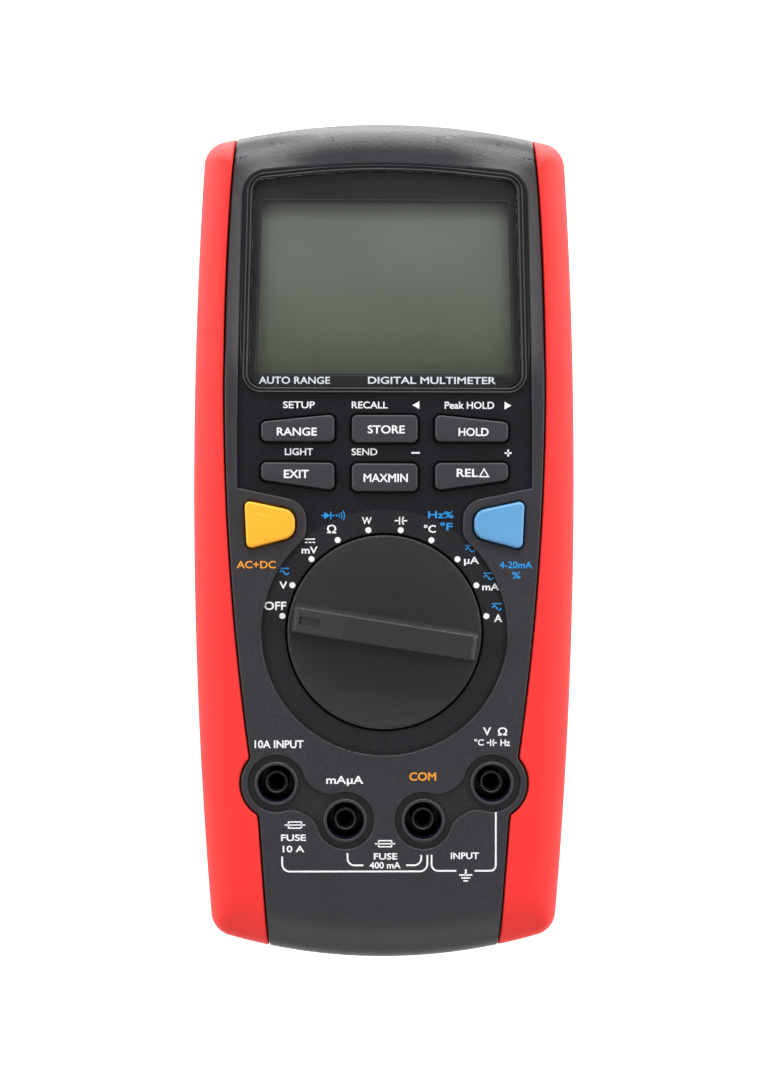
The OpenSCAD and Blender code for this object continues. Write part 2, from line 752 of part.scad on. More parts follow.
module door_screws() {
    color("silver") at_screws(door_screws) {
        difference() {
            translate([0, 0, 0.3]) cylinder(r = 2.3, h = 1.2);
            translate([-0.35, -1.6, -1]) cube([0.7, 3.2, 2]);
            translate([-1.6, -0.35, -1]) cube([3.2, 0.7, 2]);
        }
        translate([0, 0, 1.5]) cylinder(r = 1.2, h = 8.5);
    }
}

// ---------- Stand and data port ----------

module tilt_stand() {
    color("#35333a") difference() {
        union() {
            block([-stand_w, stand_foot_y, 0.5], [stand_w, hinge_y, 3.1]);
            translate([-stand_w, hinge_y, hinge_z]) rotate([0, 90, 0]) cylinder(r = 1.6, h = 2 * stand_w);
            translate([-stand_w - 1.8, hinge_y, hinge_z]) rotate([0, 90, 0])
                cylinder(r = 1.2, h = 2 * stand_w + 3.6);
        }
        // Stiffening panel on the inner side
        block([-stand_w + 5, stand_foot_y + 12, 2.1], [stand_w - 5, hinge_y - 12, 4]);
        // Grip ribs near the foot
        for (y = [stand_foot_y + 3:2.4:stand_foot_y + 9]) block([-9, y, 0], [9, y + 1.1, 0.9]);
    }
}
module data_window() {
    color("#3a1418") block([-7, 75, 0.3], [7, 80, 1.9]);
}
module data_diodes() {
    color("#26262c") for (x = [-3, 3]) {
        post([x, 77.5], 1.5, 4, 8);
        translate([x, 77.5, 4]) sphere(r = 1.5);
        for (dx = [-1, 1]) post([x + dx, 77.5], 0.3, 7.9, board_z);
    }
}

front_case();
rear_case();
front_grip_left();
front_grip_right();
rear_grip_left();
rear_grip_right();
case_screws();
display_lens();
display_mask();
lcd_panel();
lcd_backlight();
lcd_frame();
contact_strip();
button_range();
button_store();
button_hold();
button_exit();
button_maxmin();
button_rel();
button_yellow();
button_blue();
keypad_membrane();
rotary_knob();
knob_screw();
switch_rotor();
rotor_contacts();
detent_ring();
detent_balls();
detent_springs();
main_board();
board_screws();
socket_10a();
socket_ma();
socket_com();
socket_v();
fuse_10a();
fuse_ma();
fuse_clips();
current_shunt();
surge_absorbers();
shield_plate();
board_chips();
capacitors();
buzzer();
battery_9v();
battery_snap();
lead_red();
lead_black();
battery_pad();
battery_door();
door_screws();
tilt_stand();
data_window();
data_diodes();
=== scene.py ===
import math

import bpy
import numpy as np
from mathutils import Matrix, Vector
from mathutils.geometry import delaunay_2d_cdt


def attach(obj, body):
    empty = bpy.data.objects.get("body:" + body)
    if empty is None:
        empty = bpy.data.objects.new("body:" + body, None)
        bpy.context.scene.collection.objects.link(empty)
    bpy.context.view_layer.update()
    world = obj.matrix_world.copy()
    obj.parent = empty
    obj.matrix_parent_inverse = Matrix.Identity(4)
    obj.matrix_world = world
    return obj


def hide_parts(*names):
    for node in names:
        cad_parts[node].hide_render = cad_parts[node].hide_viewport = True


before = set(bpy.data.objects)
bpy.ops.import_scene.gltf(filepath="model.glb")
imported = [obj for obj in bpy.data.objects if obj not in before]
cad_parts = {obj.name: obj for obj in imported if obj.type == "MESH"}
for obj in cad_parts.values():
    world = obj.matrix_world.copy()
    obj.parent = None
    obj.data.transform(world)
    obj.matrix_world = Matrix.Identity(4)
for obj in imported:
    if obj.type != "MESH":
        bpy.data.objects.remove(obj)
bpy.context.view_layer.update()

def box(half, low, high):
    """Corners of a rectangle that reaches as far left as right."""
    return [(-half, low), (half, low), (half, high), (-half, high)]


# ---------- Sizes, in millimetres, in the part's own frame ----------

MM = 0.001
HALF_L = 90.0
HALF_W = 41.15
FACE_Z = 33.0
JOINT_Z = 17.0
SIDE_R = 1107.0
WIDEST_Y = 12.0
TOP_R = 152.0
LOW_R = 121.6
CORNER_R = 5.4
GRIP_T = 2.4
RIM_T = 4.6

# Rounding of the outer edge towards the face and towards the back
FRONT_ROLL = (7.5, 7.0)
REAR_ROLL = (7.0, 9.0)
CHIN_DEPTH = 7.0
CHIN_SLOPE = math.tan(math.radians(23))
CHIN_ROUNDING = 1.8

# Line where the hard face meets the soft grips
SEAM_MAX = 34.2
SEAM_MID_Y = 34.0
SEAM_CURVE = 1150.0
SEAM_BEND_Y = (-46.0, -60.0)
SEAM_BEND_X = (28.65, 26.6)
SEAM_TAPER = 0.075
COLLAR_R = 7.6
COLLAR_ROUNDING = 0.5
SEAM_HARD_EDGE = 0.1
SEAM_SOFT_EDGE = 0.25
REAR_STRIP_LESS = 1.7

PANEL_Z = 32.0
PANEL = [(-31.3, -4.4), (31.3, -4.4), (31.5, 24), (30.3, 78.4), (0, 81.2), (-30.3, 78.4), (-31.5, 24)]
PANEL_RADII = [1.5, 1.5, 100, 5.5, 160, 5.5, 100]
FRAME_Z = 32.82
DIAL = (0.0, -19.6)
DIAL_R = 26.2
WELL_R = 21.1
WELL_FLOOR_Z = 28.6
HUB_HOLE_R = 7.05
PAD = [(33, 11.5), (16.7, 8.1), (16.7, 0.9), (22.7, -6), (33, -6)]
PAD_RADII = [0.5, 4.6, 3.4, 0.8, 0.5]

SOCKETS = {
    "socket_10a": (-23.0, -51.8),
    "socket_ma": (-8.3, -59.7),
    "socket_com": (8.3, -59.7),
    "socket_v": (23.0, -51.8),
}
SHROUD_R = 3.95
RIM_R = 4.7
RIM_Z = 33.2
RECESS_R = 6.1
RECESS_Z = 32.2
NECK_HALF = 2.9
NECK_FILLET = 5.0

LENS = [(-29.2, 32.7), (29.2, 32.7), (28.1, 76.8), (0, 79.8), (-28.1, 76.8)]
LENS_RADII = [2.8, 2.8, 2.8, 160, 2.8]
WINDOW = [(-27.3, 35.6), (27.3, 35.6), (26.3, 72.5), (-26.3, 72.5)]
WINDOW_RADII = [0.8] * 4
LENS_TOP_Z = 32.6
LENS_SEAT_Z = 31.0
BAND_SLOPE = 0.38
BAND_REACH = 3.6

UPPER_KEY = [(10.75, 21.1), (26.3, 21.1), (26.3, 25.2), (10.75, 26.8)]
LOWER_KEY = [(10.75, 10.7), (26.3, 12.9), (26.3, 16.6), (10.75, 16.5)]
UPPER_MID = box(7, 20.9, 26.7)
LOWER_MID = box(7, 10.5, 16.4)
BIG_KEY = [(29.3, -1.9), (29.8, 8.5), (19.1, 6.2), (19.1, 0.8)]
KEY_RADII = [1.1] * 4
BIG_RADII = [1.1, 1.1, 2.7, 2.7]
KEY_GAP = 0.35
KEY_Z = 33.5
BIG_KEY_Z = 34.4

CASE_SCREWS = [(-27, 79), (27, 79), (-20, -78), (20, -78)]
BOARD_SCREWS = [(-29.4, 30.3), (29.4, 30.3), (-28.5, -44), (28.5, -44), (0, -48.5)]

# Inside of the shells: how far in the walls reach, and the heights under the face
INNER_WALL = 7.6
STRIP_WALL = 2.6
LOW_WALL_Y = -78.5
EDGE_CEILING_Z = 26.5
CEILING_Z = 30.2
WELL_CEILING_Z = 26.6
WELL_WALL = 2.0
SHROUD_FOOT_Z = 23.5
BOARD_Z = 23.4
BOARD_POST_R = 2.6
CASE_POST_R = 3.4
OPENING_GAP = 0.5
REAR_INNER_WALL = 8.6
REAR_STRIP_WALL = 4.1
REAR_POST_R = 4.6
HUB_R = 7.0

# A step in a surface is drawn as a wall this wide
STEP = 0.05
FILLET_SHARES = (0.0, 0.02, 0.1, 0.3, 0.6, 1.0)
ROLL_SHARES = (0.0, 0.005, 0.02, 0.05, 0.09, 0.145, 0.215, 0.3, 0.4, 0.52, 0.66, 0.82, 1.0)
FLAT_MARGIN = 0.15
SHARP_ANGLE = math.radians(33)


# ---------- Plane geometry ----------

def unit(vector):
    return vector / np.linalg.norm(vector)


def heading(vector):
    return math.atan2(vector[1], vector[0])


def arc(centre, radius, start, stop, count):
    angles = np.linspace(start, stop, count)
    return np.column_stack([centre[0] + radius * np.cos(angles), centre[1] + radius * np.sin(angles)])


def circle_count(radius):
    return 4 * int(max(7, 6 * math.sqrt(radius)))


def circle(centre, radius, count=None):
    count = count or circle_count(radius)
    return arc(centre, radius, 0, 2 * math.pi, count + 1)[:-1]


def crossing(centre_a, radius_a, centre_b, radius_b):
    """Where two circles cross, on the left of the line from the first centre to the second."""
    gap = np.subtract(centre_b, centre_a)
    distance = np.linalg.norm(gap)
    along = gap / distance
    a = (radius_a ** 2 - radius_b ** 2 + distance ** 2) / (2 * distance)
    h = math.sqrt(radius_a ** 2 - a * a)
    return np.asarray(centre_a) + a * along + h * np.array([-along[1], along[0]])


SIDE_C = np.array([HALF_W - SIDE_R, WIDEST_Y])
TOP_C = np.array([0, HALF_L - TOP_R])
LOW_C = np.array([0, LOW_R - HALF_L])


def corner_centres(inset, radius):
    top = crossing(SIDE_C, SIDE_R - inset - radius, TOP_C, TOP_R - inset - radius)
    low = crossing(LOW_C, LOW_R - inset - radius, SIDE_C, SIDE_R - inset - radius)
    return top, low


def outline(inset=0.0):
    """The casing's outline, moved in by an inset."""
    radius = max(CORNER_R - inset, 0.6)
    top, low = corner_centres(inset, radius)
    right = np.vstack([
        arc(LOW_C, LOW_R - inset, -math.pi / 2, heading(low - LOW_C), 20),
        arc(low, radius, heading(low - LOW_C), heading(low - SIDE_C), 14)[1:],
        arc(SIDE_C, SIDE_R - inset, heading(low - SIDE_C), heading(top - SIDE_C), 60)[1:],
        arc(top, radius, heading(top - SIDE_C), heading(top - TOP_C), 14)[1:],
        arc(TOP_C, TOP_R - inset, heading(top - TOP_C), math.pi / 2, 20)[1:],
    ])
    left = right[-2:0:-1] * [-1, 1]
    return np.vstack([right, left])


TOP_CORNER, LOW_CORNER = corner_centres(0, CORNER_R)


def outline_depth(points):
    """Distance inside the casing's outline."""
    p = np.column_stack([np.abs(points[:, 0]), points[:, 1]])
    side = SIDE_R - np.hypot(*(p - SIDE_C).T)
    top = TOP_R - np.hypot(*(p - TOP_C).T)
    low = LOW_R - np.hypot(*(p - LOW_C).T)
    depth = np.minimum(side, np.minimum(top, low))
    for corner, first, second in ((TOP_CORNER, SIDE_C, TOP_C), (LOW_CORNER, LOW_C, SIDE_C)):
        out = p - corner
        a = corner - first
        b = corner - second
        past_a = a[0] * out[:, 1] - a[1] * out[:, 0] > 0
        past_b = b[0] * out[:, 1] - b[1] * out[:, 0] < 0
        wedge = past_a & past_b
        depth = np.where(wedge, CORNER_R - np.hypot(out[:, 0], out[:, 1]), depth)
    return depth


def fillet_points(a, b, c, radius, count):
    a, b, c = (np.asarray(v, float) for v in (a, b, c))
    u = unit(a - b)
    v = unit(c - b)
    half = math.acos(np.clip(u @ v, -1, 1)) / 2
    middle = b + unit(u + v) * radius / math.sin(half)
    start = heading(b + u * radius / math.tan(half) - middle)
    turn = heading(b + v * radius / math.tan(half) - middle) - start
    turn = (turn + math.pi) % (2 * math.pi) - math.pi
    return arc(middle, radius, start, start + turn, count)


def rounded(points, radii, count=9):
    """A polygon with each corner rounded to its own radius."""
    n = len(points)
    corners = []
    for i in range(n):
        steps = 24 if radii[i] > 20 else count
        corners.append(fillet_points(points[i - 1], points[i], points[(i + 1) % n], radii[i], steps))
    return np.vstack(corners)


def grown(points, distance):
    """A convex polygon with its sides moved out."""
    n = len(points)
    moved = []
    for i in range(n):
        here = np.asarray(points[i], float)
        u = unit(np.asarray(points[i - 1]) - here)
        v = unit(np.asarray(points[(i + 1) % n]) - here)
        moved.append(here - unit(u + v) * distance / math.sin(math.acos(u @ v) / 2))
    return moved


def grown_rounded(points, radii, distance):
    return rounded(grown(points, distance), [max(r + distance, 0.12) for r in radii])


def mirrored(points):
    return [(-x, y) for x, y in points][::-1]


def loop_depth(points, loop):
    """Distance inside a closed loop, negative outside."""
    nearest = np.full(len(points), 1e9)
    inside = np.zeros(len(points), bool)
    x, y = points.T
    for a, b in zip(loop, np.roll(loop, -1, axis=0)):
        edge = b - a
        share = np.clip(((points - a) @ edge) / max(edge @ edge, 1e-12), 0, 1)
        away = points - a - share[:, None] * edge
        nearest = np.minimum(nearest, np.hypot(away[:, 0], away[:, 1]))
        if a[1] != b[1]:
            straddles = (a[1] > y) != (b[1] > y)
            inside ^= straddles & (x < (b[0] - a[0]) * (y - a[1]) / (b[1] - a[1]) + a[0])
    return np.where(inside, nearest, -nearest)


def circle_depth(points, centre, radius):
    return radius - np.hypot(points[:, 0] - centre[0], points[:, 1] - centre[1])


def soft_min(a, b, width):
    share = np.clip(0.5 + 0.5 * (b - a) / width, 0, 1)
    return b + (a - b) * share - width * share * (1 - share)


def fade(value, start, stop):
    """0 before start, 1 after stop, smooth between."""
    share = np.clip((value - start) / (stop - start), 0, 1)
    return share * share * (3 - 2 * share)


def edge_drop(depth, across, down=None):
    """How far a rounded edge lies below the surface, at a distance inside the edge."""
    share = np.clip(1 - depth / across, 0, 1)
    return (across if down is None else down) * (1 - np.sqrt(1 - share * share))


def fillet_levels(radius):
    return [radius * s for s in FILLET_SHARES] + [radius + FLAT_MARGIN]


def pocket_levels(edge):
    """Offsets for the wall of a pocket and the rounded edge round it."""
    return [-STEP, *fillet_levels(edge)]


def raised_levels(edge):
    """Offsets for the wall of a raised shape and the rounded edge inside it."""
    return [STEP, *(-level for level in fillet_levels(edge))]


# ---------- The seam between hard face and grips ----------

def seam_base(y):
    curve = SEAM_MAX - (y - SEAM_MID_Y) ** 2 / SEAM_CURVE
    (y_1, y_2), (x_1, x_2) = SEAM_BEND_Y, SEAM_BEND_X
    middle = x_2 + (x_1 - x_2) * (y - y_2) / (y_1 - y_2)
    low = x_2 - SEAM_TAPER * (y_2 - y)
    return np.where(y > y_1, curve, np.where(y > y_2, middle, low))


def seam_x(y):
    """Half width of the hard face, with the collars round the outer sockets."""
    x, mid_y = SOCKETS["socket_v"]
    reach = COLLAR_R ** 2 - (y - mid_y) ** 2
    collar = np.where(reach > 0, x + np.sqrt(np.maximum(reach, 0)), 0)
    return -soft_min(-seam_base(y), -collar, COLLAR_ROUNDING)


def seam_spread(y):
    """Sideways distance per millimetre square to the seam."""
    slope = (seam_x(y + 0.02) - seam_x(y - 0.02)) / 0.04
    return np.sqrt(1 + np.minimum(np.abs(slope), 3) ** 2)


def seam_depth(points):
    """Distance inside the hard face, from the seam."""
    y = points[:, 1]
    return (seam_x(y) - np.abs(points[:, 0])) / seam_spread(y)


def collar_stations():
    low = SOCKETS["socket_v"][1] - COLLAR_R - 1.5
    high = SOCKETS["socket_v"][1] + COLLAR_R + 1.5
    return low, high


def seam_lines(offset):
    """The seam on both sides, moved out by an offset."""
    low, high = collar_stations()
    y = np.concatenate([
        np.linspace(-92, low, 24)[:-1],
        np.linspace(low, high, 90)[:-1],
        np.linspace(high, 92, 84),
    ])
    right = np.column_stack([seam_x(y) + offset * seam_spread(y), y])
    return [right, right * [-1, 1]]


def strip_lines(less):
    y = np.linspace(-92, 92, 90)
    right = np.column_stack([seam_base(y) - less, y])
    return [right, right * [-1, 1]]


# ---------- Meshes from plane lines and heights ----------

def mesh_object(name, vertices, faces):
    mesh = bpy.data.meshes.new(name)
    mesh.from_pydata((np.asarray(vertices, float) * MM).tolist(), [], faces)
    mesh.validate()
    mesh.polygons.foreach_set("use_smooth", [True] * len(mesh.polygons))
    mesh.set_sharp_from_angle(angle=SHARP_ANGLE)
    mesh.update()
    piece = bpy.data.objects.new(name, mesh)
    bpy.context.scene.collection.objects.link(piece)
    return piece


def triangulated(loops, lines, spots):
    """Triangles over the plane whose edges follow every loop and line."""
    points = []
    edges = []
    for closed, group in ((True, loops), (False, lines)):
        for line in group:
            start = len(points)
            points += [Vector(p) for p in np.asarray(line, float).tolist()]
            edges += [(i, i + 1) for i in range(start, len(points) - 1)]
            if closed:
                edges.append((len(points) - 1, start))
    points += [Vector(p) for p in spots]
    found = delaunay_2d_cdt(points, edges, [], 0, 1e-4)
    plane = np.array([(v.x, v.y) for v in found[0]])
    return plane, np.array([f for f in found[2] if len(f) == 3])


def signed_areas(plane, triangles):
    """Twice the area of each triangle, above 0 where it runs anticlockwise."""
    a, b, c = (plane[triangles[:, i]] for i in range(3))
    return (b[:, 0] - a[:, 0]) * (c[:, 1] - a[:, 1]) - (b[:, 1] - a[:, 1]) * (c[:, 0] - a[:, 0])


def border_edges(faces):
    """Edges that only one face has, in that face's direction."""
    directed = {(f[i], f[(i + 1) % len(f)]) for f in faces for i in range(len(f))}
    return sorted((i, j) for i, j in directed if (j, i) not in directed)


def relief(name, loops, lines, keep, top, under, rim=(), face_down=False, spots=()):
    """A closed solid between two height functions over the part of the plane that keep() accepts.

    Where the border lies on the casing's outline, the wall goes through the rings of rim, each
    (inset from the outline, height), and ends at the last one.
    """
    plane, triangles = triangulated(loops, lines, spots)
    centres = plane[triangles].mean(axis=1)
    triangles = triangles[keep(centres) & (np.abs(signed_areas(plane, triangles)) > 1e-9)]
    used, triangles = np.unique(triangles, return_inverse=True)
    triangles = triangles.reshape(-1, 3)
    plane = plane[used]
    clockwise = signed_areas(plane, triangles) < 0
    triangles = np.where(clockwise[:, None], triangles[:, ::-1], triangles)
    count = len(plane)
    lower = np.column_stack([plane, under(plane)])
    border = border_edges(triangles.tolist())
    column = {i: [i, i + count] for edge in border for i in edge}
    vertices = [np.column_stack([plane, top(plane)]), lower]
    total = 2 * count
    ids = np.array(sorted(column))
    for i in ids[on_outline(plane[ids])] if rim else ():
        inward = inward_direction(plane[i])
        places = [np.array([*(plane[i] + inward * inset), z]) for inset, z in rim]
        lower[i] = places[-1]
        vertices.append(np.array(places[:-1]))
        column[int(i)] = [int(i), *range(total, total + len(rim) - 1), int(i) + count]
        total += len(rim) - 1
    faces = triangles.tolist() + (triangles[:, ::-1] + count).tolist()
    for i, j in border:
        left, right = column[i], column[j]
        if len(left) == len(right):
            faces += [(left[k + 1], right[k + 1], right[k], left[k]) for k in range(len(left) - 1)]
        else:
            faces.append(tuple(left + right[::-1]))
    if face_down:
        faces = [tuple(f[::-1]) for f in faces]
    return mesh_object(name, np.vstack(vertices), faces)


def inward_direction(point):
    step = 0.01
    around = np.array([point + [step, 0], point - [step, 0], point + [0, step], point - [0, step]])
    depth = outline_depth(around)
    return unit(np.array([depth[0] - depth[1], depth[2] - depth[3]]))


def on_outline(points):
    return np.abs(outline_depth(points)) < 0.012


# ---------- Heights of the casing ----------

def mirrored_points(points):
    """The points folded onto the right half."""
    return np.column_stack([np.abs(points[:, 0]), points[:, 1]])


def sunk(z, depth, floor, edge):
    """z with a pocket where depth is positive; the pocket's border has a rounded edge."""
    return np.where(depth > STEP / 2, floor, z - edge_drop(-depth, edge))


def pocket_loops(points, radii, edge):
    """The loops that a pocket's wall and its rounded edge need."""
    return [grown_rounded(points, radii, off) for off in pocket_levels(edge)]


def round_pocket_loops(centre, radius, edge):
    count = circle_count(radius)
    return [circle(centre, radius + off, count) for off in pocket_levels(edge)]


def dumbbell(offset):
    """Outline of the recess that joins the right-hand sockets, moved out by an offset."""
    inner = np.array(SOCKETS["socket_com"])
    outer = np.array(SOCKETS["socket_v"])
    run = outer - inner
    along = unit(run)
    across = np.array([-along[1], along[0]])
    radius = RECESS_R + offset
    bend = NECK_FILLET - offset
    reach = math.sqrt((RECESS_R + NECK_FILLET) ** 2 - (NECK_HALF + NECK_FILLET) ** 2)
    lean = math.atan2(NECK_HALF + NECK_FILLET, reach)
    tilt = heading(along)
    upper_near = inner + reach * along + (NECK_HALF + NECK_FILLET) * across
    upper_far = outer - reach * along + (NECK_HALF + NECK_FILLET) * across
    lower_near = inner + reach * along - (NECK_HALF + NECK_FILLET) * across
    lower_far = outer - reach * along - (NECK_HALF + NECK_FILLET) * across
    quarter = math.pi / 2
    return np.vstack([
        arc(outer, radius, tilt - math.pi + lean, tilt + math.pi - lean, 44),
        arc(upper_far, bend, tilt - lean, tilt - quarter, 14)[1:],
        arc(upper_near, bend, tilt - quarter, tilt - math.pi + lean, 14)[1:],
        arc(inner, radius, tilt + lean, tilt + 2 * math.pi - lean, 44)[1:],
        arc(lower_near, bend, tilt + math.pi - lean, tilt + quarter, 14)[1:],
        arc(lower_far, bend, tilt + quarter, tilt + lean, 14)[1:-1],
    ])


PANEL_LOOP = rounded(PANEL, PANEL_RADII)
LENS_LOOP = rounded(LENS, LENS_RADII)
PAD_LOOP = rounded(PAD, PAD_RADII)
RECESS_LOOP = dumbbell(0)
KEY_OUTLINES = {
    "button_range": (mirrored(UPPER_KEY), KEY_RADII),
    "button_hold": (UPPER_KEY, KEY_RADII),
    "button_store": (UPPER_MID, KEY_RADII),
    "button_exit": (mirrored(LOWER_KEY), KEY_RADII),
    "button_rel": (LOWER_KEY, KEY_RADII),
    "button_maxmin": (LOWER_MID, KEY_RADII),
    "button_yellow": (mirrored(BIG_KEY), BIG_RADII[::-1]),
    "button_blue": (BIG_KEY, BIG_RADII),
}
PANEL_EDGE = 0.3
RECESS_EDGE = 0.3
WELL_EDGE = 0.25
KEY_EDGE = 0.3
LIP_PROFILE = [
    (0, 32.5), (0.06, 32.72), (0.2, 32.8), (0.34, 32.72), (0.4, 32.5), (0.46, 32.3), (0.72, 32.3),
    (0.78, 32.62), (0.84, 32.88), (0.95, 32.95), (1.06, 32.9),
]
SEAM_EDGE = 0.3
GRIP_EDGE = 0.7
CORE_Z = 28.95

# Rings of the outer wall next to the joint: a shallow groove, as (inset, height)
FRONT_RIM = [(0.14, JOINT_Z + 0.35), (0.4, JOINT_Z)]
REAR_RIM = [(0.14, JOINT_Z - 0.35), (0.4, JOINT_Z)]


def front_shape(points):
    """Outside of the closed casing above the joint, without its details."""
    rolled = FACE_Z - edge_drop(outline_depth(points), *FRONT_ROLL)
    low_depth = LOW_R - np.hypot(*(points - LOW_C).T)
    low_depth = np.where(points[:, 1] < -60, low_depth, 50)
    chin = FACE_Z - (CHIN_DEPTH - low_depth) * CHIN_SLOPE
    return soft_min(rolled, chin, CHIN_ROUNDING)


def ridge_share(points):
    """1 where the display's frame has its ridge, 0 at the middle of the top and below the display."""
    x, y = mirrored_points(points).T
    return fade(y, 33, 44) * (1 - fade(y, 70, 77) * (1 - fade(x, 11, 25)))


def display_band(points):
    """Fall of the band that slopes away from the display's ridge towards the grips."""
    out = np.maximum(-loop_depth(points, PANEL_LOOP), 0)
    reach = BAND_REACH * np.tanh(out / BAND_REACH)
    return BAND_SLOPE * reach * ridge_share(points) * fade(outline_depth(points), 0, 4)


def lens_distance(points):
    """Distance outside the edge of the lens opening."""
    return -loop_depth(points, LENS_LOOP) - 0.1


def panel_depth(points):
    """Distance inside the sunk panel of the keys and the dial, which runs up round the display."""
    dial = circle_depth(points, DIAL, DIAL_R)
    block = loop_depth(points, PANEL_LOOP)
    pads = loop_depth(mirrored_points(points), PAD_LOOP)
    return np.maximum(dial, np.minimum(block, -pads))


def panel_floor(points):
    """Height of the panel: sunk round the keys, nearly level with the ridge round the display."""
    x, y = mirrored_points(points).T
    frame_z = FACE_Z - (FACE_Z - FRAME_Z) * ridge_share(points)
    return PANEL_Z + (frame_z - PANEL_Z) * fade(y, 30, 42)


def socket_distance(points):
    """Distance from the nearest socket's middle."""
    return np.min([np.hypot(*(points - np.array(c)).T) for c in SOCKETS.values()], axis=0)


def front_top(points):
    """Top of the hard front shell."""
    z = front_shape(points) - display_band(points)
    panel = panel_depth(points)
    shown = np.where(points[:, 1] > 60, ridge_share(points), 1)
    rounded_edge = z - shown * edge_drop(-panel, PANEL_EDGE)
    z = np.where(panel > STEP / 2, panel_floor(points), rounded_edge)
    lens = lens_distance(points)
    across, height = np.array(LIP_PROFILE).T
    z = np.where(lens < across[-1] + STEP / 2, np.interp(lens, across, height), z)
    z = np.where(lens < -STEP / 2, LENS_SEAT_Z, z)
    z = sunk(z, circle_depth(points, DIAL, WELL_R), WELL_FLOOR_Z, WELL_EDGE)
    z = sunk(z, loop_depth(mirrored_points(points), RECESS_LOOP), RECESS_Z, RECESS_EDGE)
    away = socket_distance(points)
    rim = RIM_Z - edge_drop(RIM_R - away, 0.4) - edge_drop(away - SHROUD_R, 0.25)
    z = np.where(away < RIM_R + STEP / 2, rim, z)
    for shape, radii in KEY_OUTLINES.values():
        well = loop_depth(points, grown_rounded(shape, radii, KEY_GAP))
        z = z - edge_drop(-well, KEY_EDGE)
    seam = seam_depth(points) - SEAM_HARD_EDGE
    z = z - edge_drop(seam, SEAM_EDGE)
    return np.where(seam < -STEP / 2, CORE_Z, z)


def front_under(points):
    """Inner side of the hard front shell, down to the joint along its rim."""
    depth = outline_depth(points)
    strip = seam_base(points[:, 1]) - STRIP_WALL - np.abs(points[:, 0])
    low = (depth < INNER_WALL) | (strip < 0) | (points[:, 1] < LOW_WALL_Y)
    z = np.where(low, EDGE_CEILING_Z, CEILING_Z)
    z = np.where(circle_depth(points, DIAL, WELL_R + WELL_WALL) > 0, WELL_CEILING_Z, z)
    z = np.where(socket_distance(points) < RIM_R, SHROUD_FOOT_Z, z)
    for centre in BOARD_SCREWS:
        z = np.where(circle_depth(points, centre, BOARD_POST_R) > 0, BOARD_Z, z)
    for centre in CASE_SCREWS:
        z = np.where(circle_depth(points, centre, CASE_POST_R) > 0, JOINT_Z, z)
    return np.where(depth < RIM_T, JOINT_Z, z)


def double(make, *args):
    """A loop and the same loop a step further in, for a wall on the inner side."""
    return [make(*args), make(*args[:-1], args[-1] - STEP)]


def roll_loops(width):
    return [outline(width * s) for s in ROLL_SHARES] + [outline(width + 0.3)]


def front_loops():
    loops = roll_loops(FRONT_ROLL[0])
    loops += [outline(RIM_T), outline(RIM_T + STEP), outline(INNER_WALL), outline(INNER_WALL + STEP)]
    for centre in CASE_SCREWS:
        loops += double(circle, centre, CASE_POST_R)
    loops += [outline(GRIP_T + 0.02)]
    lens_steps = [-STEP, *(across for across, _ in LIP_PROFILE), LIP_PROFILE[-1][0] + STEP]
    loops += [grown_rounded(LENS, LENS_RADII, 0.1 + off) for off in lens_steps]
    loops += [grown_rounded(WINDOW, WINDOW_RADII, OPENING_GAP)]
    loops += pocket_loops(PANEL, PANEL_RADII, PANEL_EDGE)
    loops += round_pocket_loops(DIAL, DIAL_R, PANEL_EDGE)
    for off in pocket_levels(PANEL_EDGE):
        pad = grown_rounded(PAD, PAD_RADII, -off)
        recess = dumbbell(off)
        loops += [pad, pad * [-1, 1], recess, recess * [-1, 1]]
    loops += round_pocket_loops(DIAL, WELL_R, WELL_EDGE)
    loops += [circle(DIAL, HUB_HOLE_R)] + double(circle, DIAL, WELL_R + WELL_WALL)
    rim_steps = [RIM_R - off for off in (-STEP, 0, 0.01, 0.04, 0.12, 0.24, 0.4)]
    rim_steps += [SHROUD_R + off for off in (0.25, 0.15, 0.07, 0.02, 0)]
    for centre in SOCKETS.values():
        loops += [circle(centre, r, 56) for r in rim_steps]
    for centre in BOARD_SCREWS:
        loops += double(circle, centre, BOARD_POST_R)
    for shape, radii in KEY_OUTLINES.values():
        loops += [grown_rounded(shape, radii, KEY_GAP + off) for off in fillet_levels(KEY_EDGE)]
    return loops


def front_lines():
    lines = []
    for off in raised_levels(SEAM_EDGE):
        lines += seam_lines(off - SEAM_HARD_EDGE)
    lines += strip_lines(STRIP_WALL) + strip_lines(STRIP_WALL + STEP)
    return lines + chin_lines() + [np.array([[-45, y], [45, y]]) for y in (LOW_WALL_Y, LOW_WALL_Y + STEP)]


def chin_lines():
    """Lines along the rounded crease of the chin."""
    start, stop = -math.pi / 2 - 0.36, -math.pi / 2 + 0.36
    offsets = (3.2, 2.4, 1.7, 1.1, 0.5, 0.0, -0.5, -1.1, -1.7, -2.4, -3.2)
    return [arc(LOW_C, LOW_R - CHIN_DEPTH + off, start, stop, 40) for off in offsets]


def band_spots():
    """Extra points where the display's band and the panel's floor bend."""
    spots = [(side * (31.4 + x), y) for side in (-1, 1) for x in (0.55, 1.2, 1.9, 2.5) for y in range(24, 84)]
    spots += [(side * 30.85, y) for side in (-1, 1) for y in np.arange(28, 46, 0.6)]
    spots += [(x, y) for x in np.arange(-33, 33.5, 1.1) for y in np.arange(81.5, 86.5, 0.7)]
    return spots


